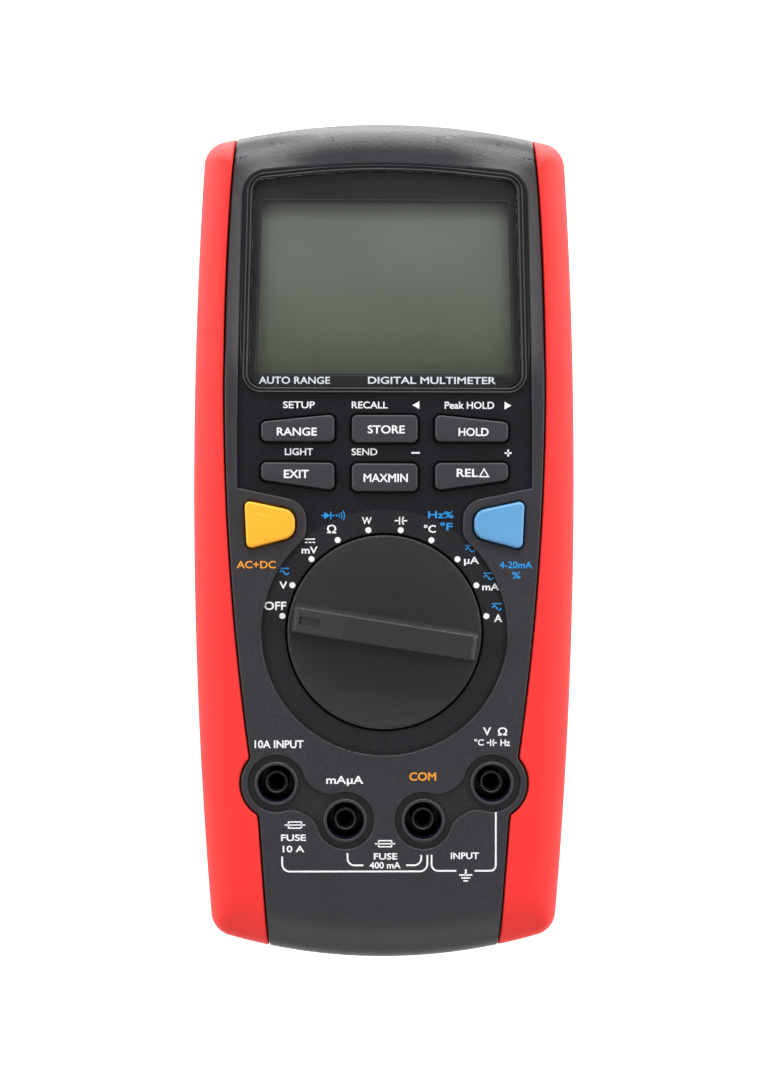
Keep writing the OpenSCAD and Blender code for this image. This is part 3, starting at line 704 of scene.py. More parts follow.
def front_case():
    openings = [grown_rounded(s, r, KEY_GAP) for s, r in KEY_OUTLINES.values()]
    openings.append(grown_rounded(WINDOW, WINDOW_RADII, OPENING_GAP))

    def keep(points):
        depth = outline_depth(points)
        inside = (depth > 0) & ((seam_depth(points) > SEAM_HARD_EDGE) | (depth > GRIP_T + 0.02))
        for loop in openings:
            inside &= loop_depth(points, loop) < 0
        inside &= socket_distance(points) > SHROUD_R
        return inside & (circle_depth(points, DIAL, HUB_HOLE_R) < 0)

    outlines = front_loops(), front_lines()
    return relief("front_shell", *outlines, keep, front_top, front_under, FRONT_RIM, spots=band_spots())


# ---------- Rear shell ----------

STAND_HINGE = (3.0, 2.0)
# Pockets from outside as (corners, corner radius, floor), and inner walls as (corners, height)
REAR_POCKETS = [
    (box(22.6, -71, 5.6), 1.0, 3.8),
    (box(30.55, 33.45, 70.55), 1.0, 2.4),
    (box(26.9, 39.2, 66.3), 0.8, 20.6),
    (box(7.1, 74.9, 80.1), 0.6, 1.9),
]
REAR_FLOORS = [
    (box(24.6, -73, 7.6), 5.6),
    (box(10, -80, -70), 4.6),
    (box(31.9, 32.1, 74), 4.0),
    (box(28.3, 37.8, 67.7), 21.35),
]
NOTCH = (0.0, -71.0)
NOTCH_R = 7.5
NOTCH_FLOOR = 2.6
COUNTERBORE_R = 3.1
COUNTERBORE_FLOOR = 8.0
SCREW_HOLE_R = 1.65
REAR_EDGE = 0.35
REAR_CORE_Z = 4.05


def rear_seam_depth(points):
    return seam_base(points[:, 1]) - REAR_STRIP_LESS - np.abs(points[:, 0])


def raised_pocket(z, depth, floor, edge):
    """sunk() for the back, where a pocket goes up into the casing."""
    rounded_edge = np.where(z > floor - 0.5, z, z + edge_drop(-depth, edge))
    return np.where(depth > STEP / 2, np.maximum(z, floor), rounded_edge)


def rear_top(points):
    """The casing's back, seen from outside; heights grow into the casing."""
    z = edge_drop(outline_depth(points), *REAR_ROLL)
    for shape, radius, floor in REAR_POCKETS:
        z = raised_pocket(z, loop_depth(points, rounded(shape, [radius] * 4)), floor, REAR_EDGE)
    z = raised_pocket(z, circle_depth(points, NOTCH, NOTCH_R), NOTCH_FLOOR, REAR_EDGE)
    for centre in CASE_SCREWS:
        z = raised_pocket(z, circle_depth(points, centre, COUNTERBORE_R), COUNTERBORE_FLOOR, REAR_EDGE)
    seam = rear_seam_depth(points) - SEAM_HARD_EDGE
    z = z + edge_drop(seam, SEAM_EDGE)
    return np.where(seam < -STEP / 2, REAR_CORE_Z, z)


def rear_under(points):
    depth = outline_depth(points)
    strip = seam_base(points[:, 1]) - REAR_STRIP_WALL - np.abs(points[:, 0])
    z = np.where((depth < REAR_INNER_WALL) | (strip < 0), 6.0, 2.2)
    for shape, floor in REAR_FLOORS:
        z = np.where(loop_depth(points, np.array(shape, float)) > 0, floor, z)
    for centre in CASE_SCREWS:
        z = np.where(circle_depth(points, centre, REAR_POST_R) > 0, JOINT_Z, z)
    z = np.where(depth < RIM_T, JOINT_Z, z)
    return np.maximum(z, rear_top(points) + 0.75)


def rear_loops():
    loops = roll_loops(REAR_ROLL[0]) + [outline(RIM_T), outline(RIM_T + STEP)]
    loops += [outline(REAR_INNER_WALL), outline(REAR_INNER_WALL + STEP), outline(GRIP_T + 0.02)]
    for shape, radius, _ in REAR_POCKETS:
        loops += pocket_loops(shape, [radius] * 4, REAR_EDGE)
    for shape, _ in REAR_FLOORS:
        loops += [np.array(shape, float), np.array(grown(shape, -STEP))]
    loops += round_pocket_loops(NOTCH, NOTCH_R, REAR_EDGE)
    for centre in CASE_SCREWS:
        loops += round_pocket_loops(centre, COUNTERBORE_R, REAR_EDGE)
        loops += [circle(centre, SCREW_HOLE_R), *double(circle, centre, REAR_POST_R)]
    return loops


def rear_case():
    def keep(points):
        depth = outline_depth(points)
        inside = (depth > 0) & ((rear_seam_depth(points) > SEAM_HARD_EDGE) | (depth > GRIP_T + 0.02))
        for centre in CASE_SCREWS:
            inside &= circle_depth(points, centre, SCREW_HOLE_R) < 0
        return inside

    lines = strip_lines(REAR_STRIP_WALL) + strip_lines(REAR_STRIP_WALL + STEP)
    for off in raised_levels(SEAM_EDGE):
        lines += strip_lines(REAR_STRIP_LESS + SEAM_HARD_EDGE - off)
    return relief("rear_shell", rear_loops(), lines, keep, rear_top, rear_under, REAR_RIM, face_down=True)


def soft_grip(end, side):
    """One soft grip over an edge of the front or rear shell; side is -1 for left and 1 for right."""
    front = end == "front"
    hard_depth = seam_depth if front else rear_seam_depth
    roll = FRONT_ROLL if front else REAR_ROLL
    core_z = CORE_Z + 0.05 if front else REAR_CORE_Z - 0.05

    def keep(points):
        own_side = points[:, 0] * side > 0
        return own_side & (outline_depth(points) > 0) & (hard_depth(points) < -SEAM_SOFT_EDGE)

    def top(points):
        fall = edge_drop(-hard_depth(points) - SEAM_SOFT_EDGE, GRIP_EDGE)
        return front_shape(points) - fall if front else edge_drop(outline_depth(points), *roll) + fall

    def under(points):
        return np.where(outline_depth(points) < GRIP_T, JOINT_Z, core_z)

    loops = roll_loops(roll[0]) + [outline(GRIP_T), outline(GRIP_T + STEP)]
    lines = []
    for off in fillet_levels(GRIP_EDGE):
        out = SEAM_SOFT_EDGE + off
        lines += seam_lines(out) if front else strip_lines(REAR_STRIP_LESS - out)
    lines += chin_lines() if front else []
    name = f"{end}_soft_grip_{'right' if side > 0 else 'left'}"
    return relief(name, loops, lines, keep, top, under, FRONT_RIM if front else REAR_RIM, not front)


# ---------- Keys ----------

CROWN = 0.12
COLLAR_TOP_Z = 30.0
KEY_UNDER_Z = 28.8
FOOT_Z = 27.4
FOOT_R = 1.6


def key_cap(node):
    """A key: cap with a rounded edge, the collar that holds it under the face, and its foot."""
    shape, radii = KEY_OUTLINES[node]
    big = node in ("button_yellow", "button_blue")
    top_z = BIG_KEY_Z if big else KEY_Z
    edge = 0.55 if big else 0.35
    cap = grown_rounded(shape, radii, 0)
    collar = grown_rounded(shape, radii, 1)
    low, high = cap.min(axis=0), cap.max(axis=0)
    foot = (low + high) / 2

    def keep(points):
        return loop_depth(points, collar) > 0

    def top(points):
        depth = loop_depth(points, cap)
        middle = (points - (low + high) / 2) / ((high - low) / 2)
        dome = CROWN * (1 - np.clip((middle ** 2).sum(axis=1) / 2, 0, 1)) - CROWN
        rounded_top = top_z + dome - edge_drop(depth, edge)
        return np.where(depth > -STEP / 2, rounded_top, COLLAR_TOP_Z)

    def under(points):
        return np.where(circle_depth(points, foot, FOOT_R) > 0, FOOT_Z, KEY_UNDER_Z)

    loops = [collar] + [grown_rounded(shape, radii, off) for off in [*raised_levels(edge), -1.2, -1.9]]
    loops += double(circle, foot, FOOT_R)
    columns = np.arange(low[0] + 2, high[0] - 1.5, 1.3)
    rows = np.arange(low[1] + 1.9, high[1] - 1.5, 1.1)
    spots = [(x, y) for x in columns for y in rows]
    return relief(node + "_cap", loops, [], keep, top, under, spots=spots)


# ---------- Selector knob ----------

KNOB_R = 20.7
KNOB_LOW_Z = 29.0
BAR_ANGLE = math.radians(171)
BAR_TOP_Z = 40.0
BAR_BASE = [(-20.1, -3.35), (19.9, -3.35), (19.9, 3.35), (-20.1, 3.35)]
BAR_RADII = [0.9] * 4
BAR_DRAFT = 0.75
POINTER_FROM = 8.7
POINTER_SLOPE = 0.16
TAIL_FROM = -18.4
TAIL_SLOPE = 0.55
DISH_R = 120.0
DISH_Z = 31.2
SLOT_MARK = [(13.8, -0.85), (18.2, -0.85), (18.2, 0.85), (13.8, 0.85)]
MARK_DEPTH = 0.45
BAR_EDGE = 0.3
HUB_LOW_Z = 26.3
PEG_LOW_Z = 24.0


def turned(points, angle=BAR_ANGLE):
    """Points of the bar's own frame, placed round the dial's middle."""
    points = np.asarray(points, float)
    c, s = math.cos(angle), math.sin(angle)
    return points @ np.array([[c, s], [-s, c]]) + DIAL


def in_bar_frame(points):
    c, s = math.cos(BAR_ANGLE), math.sin(BAR_ANGLE)
    return (points - DIAL) @ np.array([[c, -s], [s, c]])


def bar_profile(u):
    pointer = BAR_TOP_Z - np.maximum(u - POINTER_FROM, 0) * POINTER_SLOPE
    return pointer - np.maximum(TAIL_FROM - u, 0) * TAIL_SLOPE


def knob_top(points):
    local = in_bar_frame(points)
    radius = np.hypot(local[:, 0], local[:, 1])
    dish = DISH_Z + DISH_R - np.sqrt(DISH_R ** 2 - radius ** 2)
    dish = dish - edge_drop(KNOB_R - radius, 0.5)
    depth = loop_depth(local, rounded(BAR_BASE, BAR_RADII))
    profile = bar_profile(local[:, 0])
    share = np.clip(depth / BAR_DRAFT, 0, 1)
    wall = dish + (profile - BAR_EDGE - dish) * share
    top = profile - edge_drop(depth - BAR_DRAFT, BAR_EDGE)
    mark = loop_depth(local, rounded(SLOT_MARK, [0.15] * 4))
    top = np.where(mark > STEP / 2, top - MARK_DEPTH, top)
    return np.where(depth > BAR_DRAFT - 1e-6, top, np.where(depth > 0, wall, dish))


def knob():
    """Dished disc with the drafted grip bar, its pointer facet and the sunk mark on it."""
    rims = [KNOB_R - 0.5 * s for s in FILLET_SHARES] + [KNOB_R - 0.7]
    count = circle_count(KNOB_R)
    loops = [circle(DIAL, r, count) for r in rims]
    loops += [circle(DIAL, r, 72) for r in (19, 16.5, 14, 11.5, 9, 6.5, 4)]
    loops += double(circle, DIAL, HUB_R)
    base_steps = [0, -BAR_DRAFT] + [-BAR_DRAFT - v for v in fillet_levels(BAR_EDGE)[1:]]
    loops += [turned(grown_rounded(BAR_BASE, BAR_RADII, off)) for off in base_steps]
    loops += [turned(grown_rounded(SLOT_MARK, [0.15] * 4, off)) for off in (0, -STEP)]
    peg = box(4, -4, 4)
    loops += [turned(peg), turned(grown(peg, -STEP))]
    creases = [POINTER_FROM + off for off in (-0.3, 0, 0.3)] + [TAIL_FROM + off for off in (-0.2, 0, 0.2)]
    lines = [turned([(u, -3.3), (u, 3.3)]) for u in creases]

    def keep(points):
        return circle_depth(points, DIAL, KNOB_R) > 0

    def under(points):
        local = in_bar_frame(points)
        z = np.where(circle_depth(points, DIAL, HUB_R) > 0, HUB_LOW_Z, KNOB_LOW_Z)
        return np.where(np.abs(local).max(axis=1) < 4, PEG_LOW_Z, z)

    return relief("selector_knob", loops, lines, keep, knob_top, under)


# ---------- Plates: lens, window, door and stand ----------

def plate(name, shape, radii, low_z, high_z, edge, holes=(), face_down=False, details=None):
    """A flat plate with rounded edges on its shown side.

    details, if given, is (pockets, depth): rounded pockets in the shown side.
    """
    pockets, sink = details or ((), 0)
    loops = [grown_rounded(shape, radii, -v) for v in fillet_levels(edge)]
    loops += [circle(centre, radius) for centre, radius in holes]
    for pocket, radius in pockets:
        loops += [grown_rounded(pocket, [radius] * 4, off) for off in (-STEP, 0)]
    border = loops[0]
    shown, hidden = (low_z, high_z) if face_down else (high_z, low_z)
    sign = 1 if face_down else -1

    def keep(points):
        inside = loop_depth(points, border) > 0
        for centre, radius in holes:
            inside &= circle_depth(points, centre, radius) < 0
        return inside

    def top(points):
        z = shown + sign * edge_drop(loop_depth(points, border), edge)
        for pocket, radius in pockets:
            depth = loop_depth(points, grown_rounded(pocket, [radius] * 4, 0))
            z = np.where(depth > STEP / 2, z + sign * sink, z)
        return z

    return relief(name, loops, [], keep, top, lambda p: np.full(len(p), hidden), face_down=face_down)


def lens_plate():
    return plate("display_window", LENS, LENS_RADII, 31.36, LENS_TOP_Z, 0.3)


def battery_door():
    ribs = [(box(12, y, y + 1.1), 0.4) for y in (58.4, 60.8, 63.2, 65.6)]
    arrow_panel = [(box(26, 38.5, 54.5), 1.5)]
    return plate(
        "battery_cover", box(30.4, 33.6, 70.4), [1.0] * 4, 0.2, 2.4, 0.4,
        holes=[((-15, 36.2), 2.5), ((15, 36.2), 2.5)],
        face_down=True, details=(ribs + arrow_panel, 0.35),
    )


def data_window():
    return plate("infrared_window", box(7, 75, 80), [0.5] * 4, 0.3, 1.9, 0.25, face_down=True)


def tilt_stand():
    ribs = [(box(9, y, y + 1.1), 0.4) for y in (-67, -64.6, -62.2)]
    panel = [(box(16, -54, -8), 3.0)]
    return plate(
        "folding_stand", box(22, -70, 3), [4, 4, 0.6, 0.6], 0.5, 3.1, 0.6,
        face_down=True, details=(ribs + panel, 0.5),
    )


def lathe(name, profile, place, count):
    """A turned piece from a closed profile of (radius, height, material index) points.

    The index belongs to the stretch that starts at the point. place() puts a point that is given
    as two distances across the axis and one along it.
    """
    vertices = []
    for angle in np.linspace(0, 2 * math.pi, count + 1)[:-1]:
        for radius, height, _ in profile:
            vertices.append(place(radius * math.cos(angle), radius * math.sin(angle), height))
    n = len(profile)
    faces = []
    for i in range(count):
        here, beyond = i * n, (i + 1) % count * n
        for k in range(n):
            faces.append((here + k, beyond + k, beyond + (k + 1) % n, here + (k + 1) % n))
    piece = mesh_object(name, vertices, faces)
    piece.data.polygons.foreach_set("material_index", [index for _, _, index in profile] * count)
    return piece


def stand_hinge():
    """Barrel and pins of the stand, turned about the hinge line."""
    half = [(1.6, 21.85, 0), (1.45, 22, 0), (1.2, 22, 0), (1.2, 23.6, 0), (1.0, 23.8, 0), (0.01, 23.8, 0)]
    profile = [(radius, -x, index) for radius, x, index in half[::-1]] + half
    y, z = STAND_HINGE
    return lathe("stand_hinge_barrel", profile, lambda u, v, x: (x, y + u, z + v), 32)


# Material indices of a socket: metal, black insulator, and painted shade: the metal deep in the bore made
# near black
SOCKET_PROFILE = [
    (0.01, 12.3, 0), (0.01, 11.3, 0), (2.2, 11.3, 0), (2.45, 11.6, 0), (2.45, 20.6, 1), (3.6, 20.6, 1),
    (3.8, 20.8, 1), (3.8, 21.8, 1), (2.45, 21.8, 1), (2.45, 30.1, 1), (2.38, 30.24, 1), (2.28, 30.3, 1),
    (2.12, 30.3, 1), (2.04, 30.24, 1), (2.0, 30.1, 1), (1.97, 29.95, 0), (1.66, 29.2, 0), (1.6, 28.9, 2),
    (1.6, 12.5, 2), (1.5, 12.3, 2),
]


def socket_tube(node):
    x, y = SOCKETS[node]
    return lathe(node + "_contact", SOCKET_PROFILE, lambda u, v, z: (x + u, y + v, z), 48)


# ---------- Printed marks ----------

INK_T = 0.03
THICK_LINE = 0.36
THIN_LINE = 0.26
MASK_PRINT_Z = 31.3
KEY_WEIGHT = 0.018
SLIM = 0.016


class Ink:
    """Flat prisms of print, gathered into one piece."""

    def __init__(self, z):
        self.z = z
        self.vertices = []
        self.faces = []

    def add(self, plane, faces):
        """Adds a prism over plane faces that are listed anticlockwise."""
        start = len(self.vertices)
        n = len(plane)
        self.vertices += [(x, y, self.z + INK_T) for x, y in plane]
        self.vertices += [(x, y, self.z) for x, y in plane]
        for face in faces:
            self.faces.append(tuple(start + i for i in face))
            self.faces.append(tuple(start + n + i for i in reversed(face)))
        for i, j in border_edges(faces):
            self.faces.append((start + i, start + n + i, start + n + j, start + j))

    def stroke(self, path, width=THICK_LINE, closed=False):
        path = np.asarray(path, float)
        n = len(path)
        left, right = [], []
        for i, here in enumerate(path):
            before = path[i - 1] if closed or i > 0 else None
            after = path[(i + 1) % n] if closed or i < n - 1 else None
            into = unit(here - before) if before is not None else unit(after - here)
            out = unit(after - here) if after is not None else into
            normal = unit(np.array([-(into + out)[1], (into + out)[0]]))
            reach = width / 2 / max(normal @ np.array([-into[1], into[0]]), 0.4)
            left.append(here + normal * reach)
            right.append(here - normal * reach)
        stretches = n if closed else n - 1
        faces = [(i, n + i, n + (i + 1) % n, (i + 1) % n) for i in range(stretches)]
        self.add(np.array(left + right), faces)

    def lines(self, *paths):
        for path in paths:
            self.stroke(path, THIN_LINE)

    def shape(self, loop):
        self.add(np.asarray(loop, float), [tuple(range(len(loop)))])

    def dot(self, centre, radius):
        self.shape(circle(centre, radius, 28))

    def text(self, body, x, y, width, height, weight=0.02):
        """Lettering that fills a box of this width and height round a middle."""
        curve = bpy.data.curves.new("lettering", "FONT")
        curve.body = body
        curve.resolution_u = 4
        holder = bpy.data.objects.new("lettering", curve)
        bpy.context.scene.collection.objects.link(holder)
        depsgraph = bpy.context.evaluated_depsgraph_get()
        mesh = bpy.data.meshes.new_from_object(holder.evaluated_get(depsgraph))
        plane = np.array([v.co[:2] for v in mesh.vertices])
        faces = [tuple(p.vertices) if p.normal.z > 0 else tuple(p.vertices)[::-1] for p in mesh.polygons]
        bpy.data.objects.remove(holder)
        bpy.data.meshes.remove(mesh)
        plane = thickened(plane, faces, weight)
        low, high = plane.min(axis=0), plane.max(axis=0)
        self.add((plane - (low + high) / 2) / (high - low) * [width, height] + [x, y], faces)

    def texts(self, rows, weight=0.02):
        for row in rows:
            self.text(*row, weight)

    def piece(self, name):
        return mesh_object(name, self.vertices, self.faces)


def thickened(plane, faces, weight):
    """Plane faces with their border moved out, which makes lettering bolder."""
    normals = {}
    for i, j in border_edges(faces):
        along = plane[j] - plane[i]
        if np.hypot(*along) > 1e-9:
            out = unit(np.array([along[1], -along[0]]))
            normals.setdefault(i, []).append(out)
            normals.setdefault(j, []).append(out)
    moved = plane.copy()
    for i, outs in normals.items():
        total = np.sum(outs, axis=0)
        if np.hypot(*total) > 1e-6:
            middle = unit(total)
            moved[i] = plane[i] + middle * weight / max(middle @ outs[0], 0.5)
    return moved


def bend_line(points, radius):
    """A line with its inner corners rounded."""
    points = [np.asarray(p, float) for p in points]
    path = [points[0]]
    for a, b, c in zip(points, points[1:], points[2:]):
        path += list(fillet_points(a, b, c, radius, 7))
    path.append(points[-1])
    return path


def wave(x, y, width, height):
    share = np.linspace(0, 1, 19)
    return np.column_stack([x + (share - 0.5) * width, y + height / 2 * np.sin(2 * math.pi * share)])


def ac_dc_sign(ink, x, y):
    """A bar over a wave."""
    ink.lines([(x - 1.05, y + 0.6), (x + 1.05, y + 0.6)], wave(x, y - 0.3, 2.0, 0.85))


def dc_sign(ink, x, y):
    ink.lines([(x - 1.1, y + 0.35), (x + 1.1, y + 0.35)])
    for shift in (-0.8, 0, 0.8):
        ink.lines([(x + shift - 0.28, y - 0.35), (x + shift + 0.28, y - 0.35)])


def capacitor_sign(ink, x, y, scale=1.0):
    reach, gap, plate_h = 1.35 * scale, 0.3 * scale, 0.85 * scale
    ink.lines(
        [(x - reach, y), (x - gap, y)],
        [(x - gap, y - plate_h), (x - gap, y + plate_h)],
        [(x + gap, y), (x + reach, y)],
        arc((x + gap + 1.3 * scale, y), 1.3 * scale, math.pi - 0.7, math.pi + 0.7, 9),
    )


def diode_sign(ink, x, y):
    """A diode and a sounder's waves."""
    ink.shape([(x - 1.9, y - 0.75), (x - 0.6, y), (x - 1.9, y + 0.75)])
    ink.lines(
        [(x - 2.5, y), (x - 1.9, y)],
        [(x - 0.5, y - 0.8), (x - 0.5, y + 0.8)],
        [(x - 0.5, y), (x + 0.3, y)],
    )
    ink.dot((x + 0.75, y), 0.2)
    for radius in (0.6, 1.15, 1.7):
        ink.stroke(arc((x + 0.75, y), radius, -0.62, 0.62, 7), 0.2)


def ground_sign(ink, x, y):
    ink.stroke([(x, y + 1.5), (x, y + 0.3)])
    for k, half in enumerate((1.4, 0.95, 0.5)):
        ink.stroke([(x - half, y + 0.3 - 0.62 * k), (x + half, y + 0.3 - 0.62 * k)], 0.32)


def fuse_sign(ink, x, y):
    frame_line = rounded(box(1.4, -0.65, 0.65), [0.15] * 4, 4) + [x, y]
    ink.stroke(frame_line, THIN_LINE, closed=True)
    ink.lines([(x - 2.2, y), (x + 2.2, y)])


def ring_spot(step, radius):
    """A place round the dial, at a switch position."""
    angle = math.radians(171 - 18 * step)
    return DIAL[0] + radius * math.cos(angle), DIAL[1] + radius * math.sin(angle)


# Words of the print, as (text, x and y of its middle, width, height)
DIAL_WORDS = [
    ("OFF", -23.3, -14.0, 4.7, 1.8), ("V", -21.6, -9.6, 1.7, 1.6), ("mV", -16.0, -2.1, 3.4, 1.5),
    ("Ω", -11.3, 2.4, 2.0, 1.8), ("W", -3.8, 4.2, 2.1, 1.5), ("°C", 9.7, 2.5, 2.6, 1.7),
    ("µA", 18.6, -4.4, 3.2, 1.9), ("mA", 22.7, -9.9, 3.6, 1.5), ("A", 24.3, -16.6, 1.7, 1.6),
]
KEY_WORDS = [
    ("SETUP", -18.3, 28.9, 6.8, 1.5), ("RECALL", -3.2, 28.9, 7.7, 1.5), ("Peak HOLD", 18.1, 28.9, 10.6, 1.55),
    ("LIGHT", -18.3, 18.9, 6.0, 1.5), ("SEND", -4.3, 18.9, 5.5, 1.5),
]
SOCKET_WORDS = [
    ("10A INPUT", -22.4, -43.4, 10.4, 1.7), ("mAµA", -8.4, -51.2, 7.9, 2.1), ("V", 21.9, -40.7, 1.7, 1.7),
    ("Ω", 25.2, -40.7, 2.0, 1.7), ("°C", 20.2, -43.0, 2.0, 1.4), ("Hz", 25.8, -43.1, 2.1, 1.4),
    ("FUSE", -19.3, -63.3, 5.3, 1.4), ("10 A", -19.3, -65.7, 4.6, 1.4), ("FUSE", 0.3, -67.3, 5.0, 1.4),
    ("400 mA", 0.2, -69.2, 6.6, 1.4), ("INPUT", 17.2, -67.2, 6.0, 1.4),
]
# Lines that join the sockets, as (points, corner radius)
SOCKET_BRACKETS = [
    ([(-21.7, -67.3), (-21.7, -70.5), (9.2, -70.5), (9.2, -67.0)], 1.6),
    ([(-7.8, -66.6), (-7.8, -69.2), (-4.4, -69.2)], 1.5),
    ([(4.7, -69.2), (7.9, -69.2), (7.9, -67.0)], 1.5),
    ([(10.1, -67.0), (10.1, -70.4), (15.4, -70.4)], 1.4),
    ([(19.3, -70.4), (23.8, -70.4), (23.8, -57.9)], 1.2),
]


def dial_print():
    """White marks round the dial and above the keys, on the sunk panel."""
    ink = Ink(PANEL_Z)
    for step in range(10):
        ink.dot(ring_spot(step, 22.05), 0.64)
    ink.texts(DIAL_WORDS)
    ink.texts(KEY_WORDS, SLIM)
    dc_sign(ink, -15.9, -0.1)
    capacitor_sign(ink, 3.5, 4.2)
    ink.shape([(5.9, 28.9), (7.4, 28.05), (7.4, 29.75)])
    ink.shape([(25.6, 28.0), (27.1, 28.85), (25.6, 29.7)])
    ink.stroke([(5.7, 18.7), (7.5, 18.7)])
    ink.stroke([(25.65, 18.7), (27.15, 18.7)])
    ink.stroke([(26.4, 17.95), (26.4, 19.45)])
    return ink.piece("dial_print_white")


def dial_print_blue():
    ink = Ink(PANEL_Z)
    for x, y in ((-21.4, -6.6), (18.3, -1.7), (22.2, -7.6), (24.0, -14.1)):
        ac_dc_sign(ink, x, y)
    diode_sign(ink, -11.0, 5.3)
    ink.texts([("Hz%", 12.0, 5.5, 5.4, 1.5), ("°F", 13.2, 3.0, 2.6, 1.7)])
    return ink.piece("dial_print_blue")


def face_print():
    """White marks on the face round the sockets."""
    ink = Ink(FACE_Z)
    ink.texts(SOCKET_WORDS)
    capacitor_sign(ink, 22.9, -43.1, 0.8)
    ground_sign(ink, 17.4, -71.6)
    fuse_sign(ink, -19.0, -60.6)
    fuse_sign(ink, 0.2, -64.6)
    for points, radius in SOCKET_BRACKETS:
        ink.stroke(bend_line(points, radius))
    return ink.piece("face_print_white")


def face_print_orange():
    ink = Ink(FACE_Z)
    ink.text("AC+DC", -27.3, -5.2, 8.3, 1.6, SLIM)
    ink.text("COM", 8.2, -50.3, 5.7, 1.8)
    return ink.piece("face_print_orange")


def face_print_blue():
    ink = Ink(FACE_Z)
    ink.texts([("4-20mA", 28.0, -5.2, 7.0, 1.5), ("%", 28.1, -7.4, 1.8, 1.5)], SLIM)
    return ink.piece("face_print_blue")


def mask_print():
    """Light marks on the black border round the display, behind the lens."""
    ink = Ink(MASK_PRINT_Z)
    ink.text("AUTO RANGE", -19.3, 34.2, 15.2, 1.55, SLIM)
    ink.text("DIGITAL MULTIMETER", 10.1, 34.25, 27.4, 1.55, SLIM)
    return ink.piece("mask_print")


def mask_line():
    """Fine line printed round the display's opening."""
    ink = Ink(MASK_PRINT_Z)
    ink.stroke(grown_rounded(WINDOW, WINDOW_RADII, 0.35), 0.14, closed=True)
    return ink.piece("mask_edge_line")


KEY_CAPTIONS = {
    "button_range": ("RANGE", -18.7, 23.1, 8.5),
    "button_store": ("STORE", 0.3, 23.6, 7.9),
    "button_hold": ("HOLD", 18.9, 23.1, 6.4),
    "button_exit": ("EXIT", -18.8, 14.1, 5.3),
    "button_maxmin": ("MAXMIN", 0.2, 13.3, 9.4),
    "button_rel": ("REL", 17.6, 14.4, 4.6),
}


def key_print(node):
    body, x, y, width = KEY_CAPTIONS[node]
    ink = Ink(KEY_Z)
    ink.text(body, x, y, width, 1.75, KEY_WEIGHT)
    if node == "button_rel":
        ink.stroke([(20.2, 13.6), (22.1, 13.6), (21.15, 15.25)], THIN_LINE, closed=True)
    return ink.piece(node + "_print")


# ---------- Materials ----------

MICRON = 1e-6
ROUGH_SPREAD = 0.08


def new_material(name):
    material = bpy.data.materials.new(name)
    material.use_nodes = True
    return material, material.node_tree, material.node_tree.nodes["Principled BSDF"]


def feed(tree, node, inputs):
    """Sets each input of a node, by name or number, to a value, or links it to another node."""
    for name, value in inputs.items():
        if isinstance(value, bpy.types.NodeSocket):
            tree.links.new(value, node.inputs[name])
        else:
            node.inputs[name].default_value = value
    return node


def added(tree, kind, inputs=None):
    return feed(tree, tree.nodes.new("ShaderNode" + kind), inputs or {})


def noise(tree, scale, detail=3.0):
    """Noise over the piece, with features of about 1 / scale metres."""
    place = added(tree, "TexCoord").outputs["Object"]
    inputs = {"Scale": scale, "Detail": detail, "Roughness": 0.55, "Vector": place}
    return added(tree, "TexNoise", inputs).outputs["Fac"]


def ramp(tree, source, stops):
    """Colours along a source of 0 to 1, as (place, colour); a colour may be one number for a grey."""
    node = added(tree, "ValToRGB", {"Fac": source})
    elements = node.color_ramp.elements
    while len(elements) < len(stops):
        elements.new(0.5)
    for element, (place, colour) in zip(elements, stops):
        element.position = place
        element.color = (*(colour if isinstance(colour, tuple) else (colour,) * 3), 1)
    return node.outputs["Color"]


def ranged(tree, source, low, high, start=0.3, stop=0.7):
    """Moves a source of start to stop onto low to high."""
    inputs = {"From Min": start, "From Max": stop, "To Min": low, "To Max": high, "Value": source}
    return added(tree, "MapRange", inputs).outputs["Result"]


def distance_along(tree, coordinates, axis):
    place = added(tree, "TexCoord").outputs[coordinates]
    return added(tree, "SeparateXYZ", {"Vector": place}).outputs[axis]


def product(tree, first, second):
    """Two colours multiplied."""
    blend = tree.nodes.new("ShaderNodeMix")
    blend.data_type = "RGBA"
    blend.blend_type = "MULTIPLY"
    return feed(tree, blend, {"Factor": 1.0, "A": first, "B": second}).outputs["Result"]


def bump(tree, source, height):
    """Fine relief of a height in metres."""
    return added(tree, "Bump", {"Strength": 1.0, "Distance": height, "Height": source}).outputs["Normal"]


def shaded(colour, factor):
    return tuple(c * factor for c in colour)


def surface(name, colour, rough, spread, mottle, grain, grain_height, extra=None):
    """General moulded, cast or painted surface: slow mottling, fine grain and uneven gloss."""
    material, tree, shader = new_material(name)
    slow = noise(tree, mottle)
    fine = noise(tree, grain, 2.0)
    shades = [(0.3, shaded(colour, 1 - spread)), (0.7, shaded(colour, 1 + spread))]
    feed(tree, shader, {
        "Base Color": ramp(tree, slow, shades),
        "Roughness": ranged(tree, fine, rough - ROUGH_SPREAD, rough + ROUGH_SPREAD),
        "Normal": bump(tree, fine, grain_height * MICRON),
        **(extra or {}),
    })
    return material


def display_glass():
    """Grey-green liquid crystal panel, darker towards the lower end, with painted shade along its top edge.
    """
    material, tree, shader = new_material("lcd_grey_green")
    height = ranged(tree, distance_along(tree, "Object", "Y"), 0, 1, 0.0355, 0.0726)
    # Colours from the lower end up; the last stop is painted shade from the window's rim on the top edge.
    stops = [
        (0.0, (0.070, 0.077, 0.056)), (0.3, (0.112, 0.120, 0.096)), (0.62, (0.136, 0.144, 0.122)),
        (0.9, (0.150, 0.155, 0.138)), (1.0, (0.110, 0.114, 0.102)),
    ]
    slow = noise(tree, 70)
    feed(tree, shader, {
        "Base Color": product(tree, ramp(tree, height, stops), ramp(tree, slow, [(0.3, 0.95), (0.7, 1.05)])),
        "Roughness": ranged(tree, slow, 0.42, 0.5),
        "Specular IOR Level": 0.2,
    })
    return material


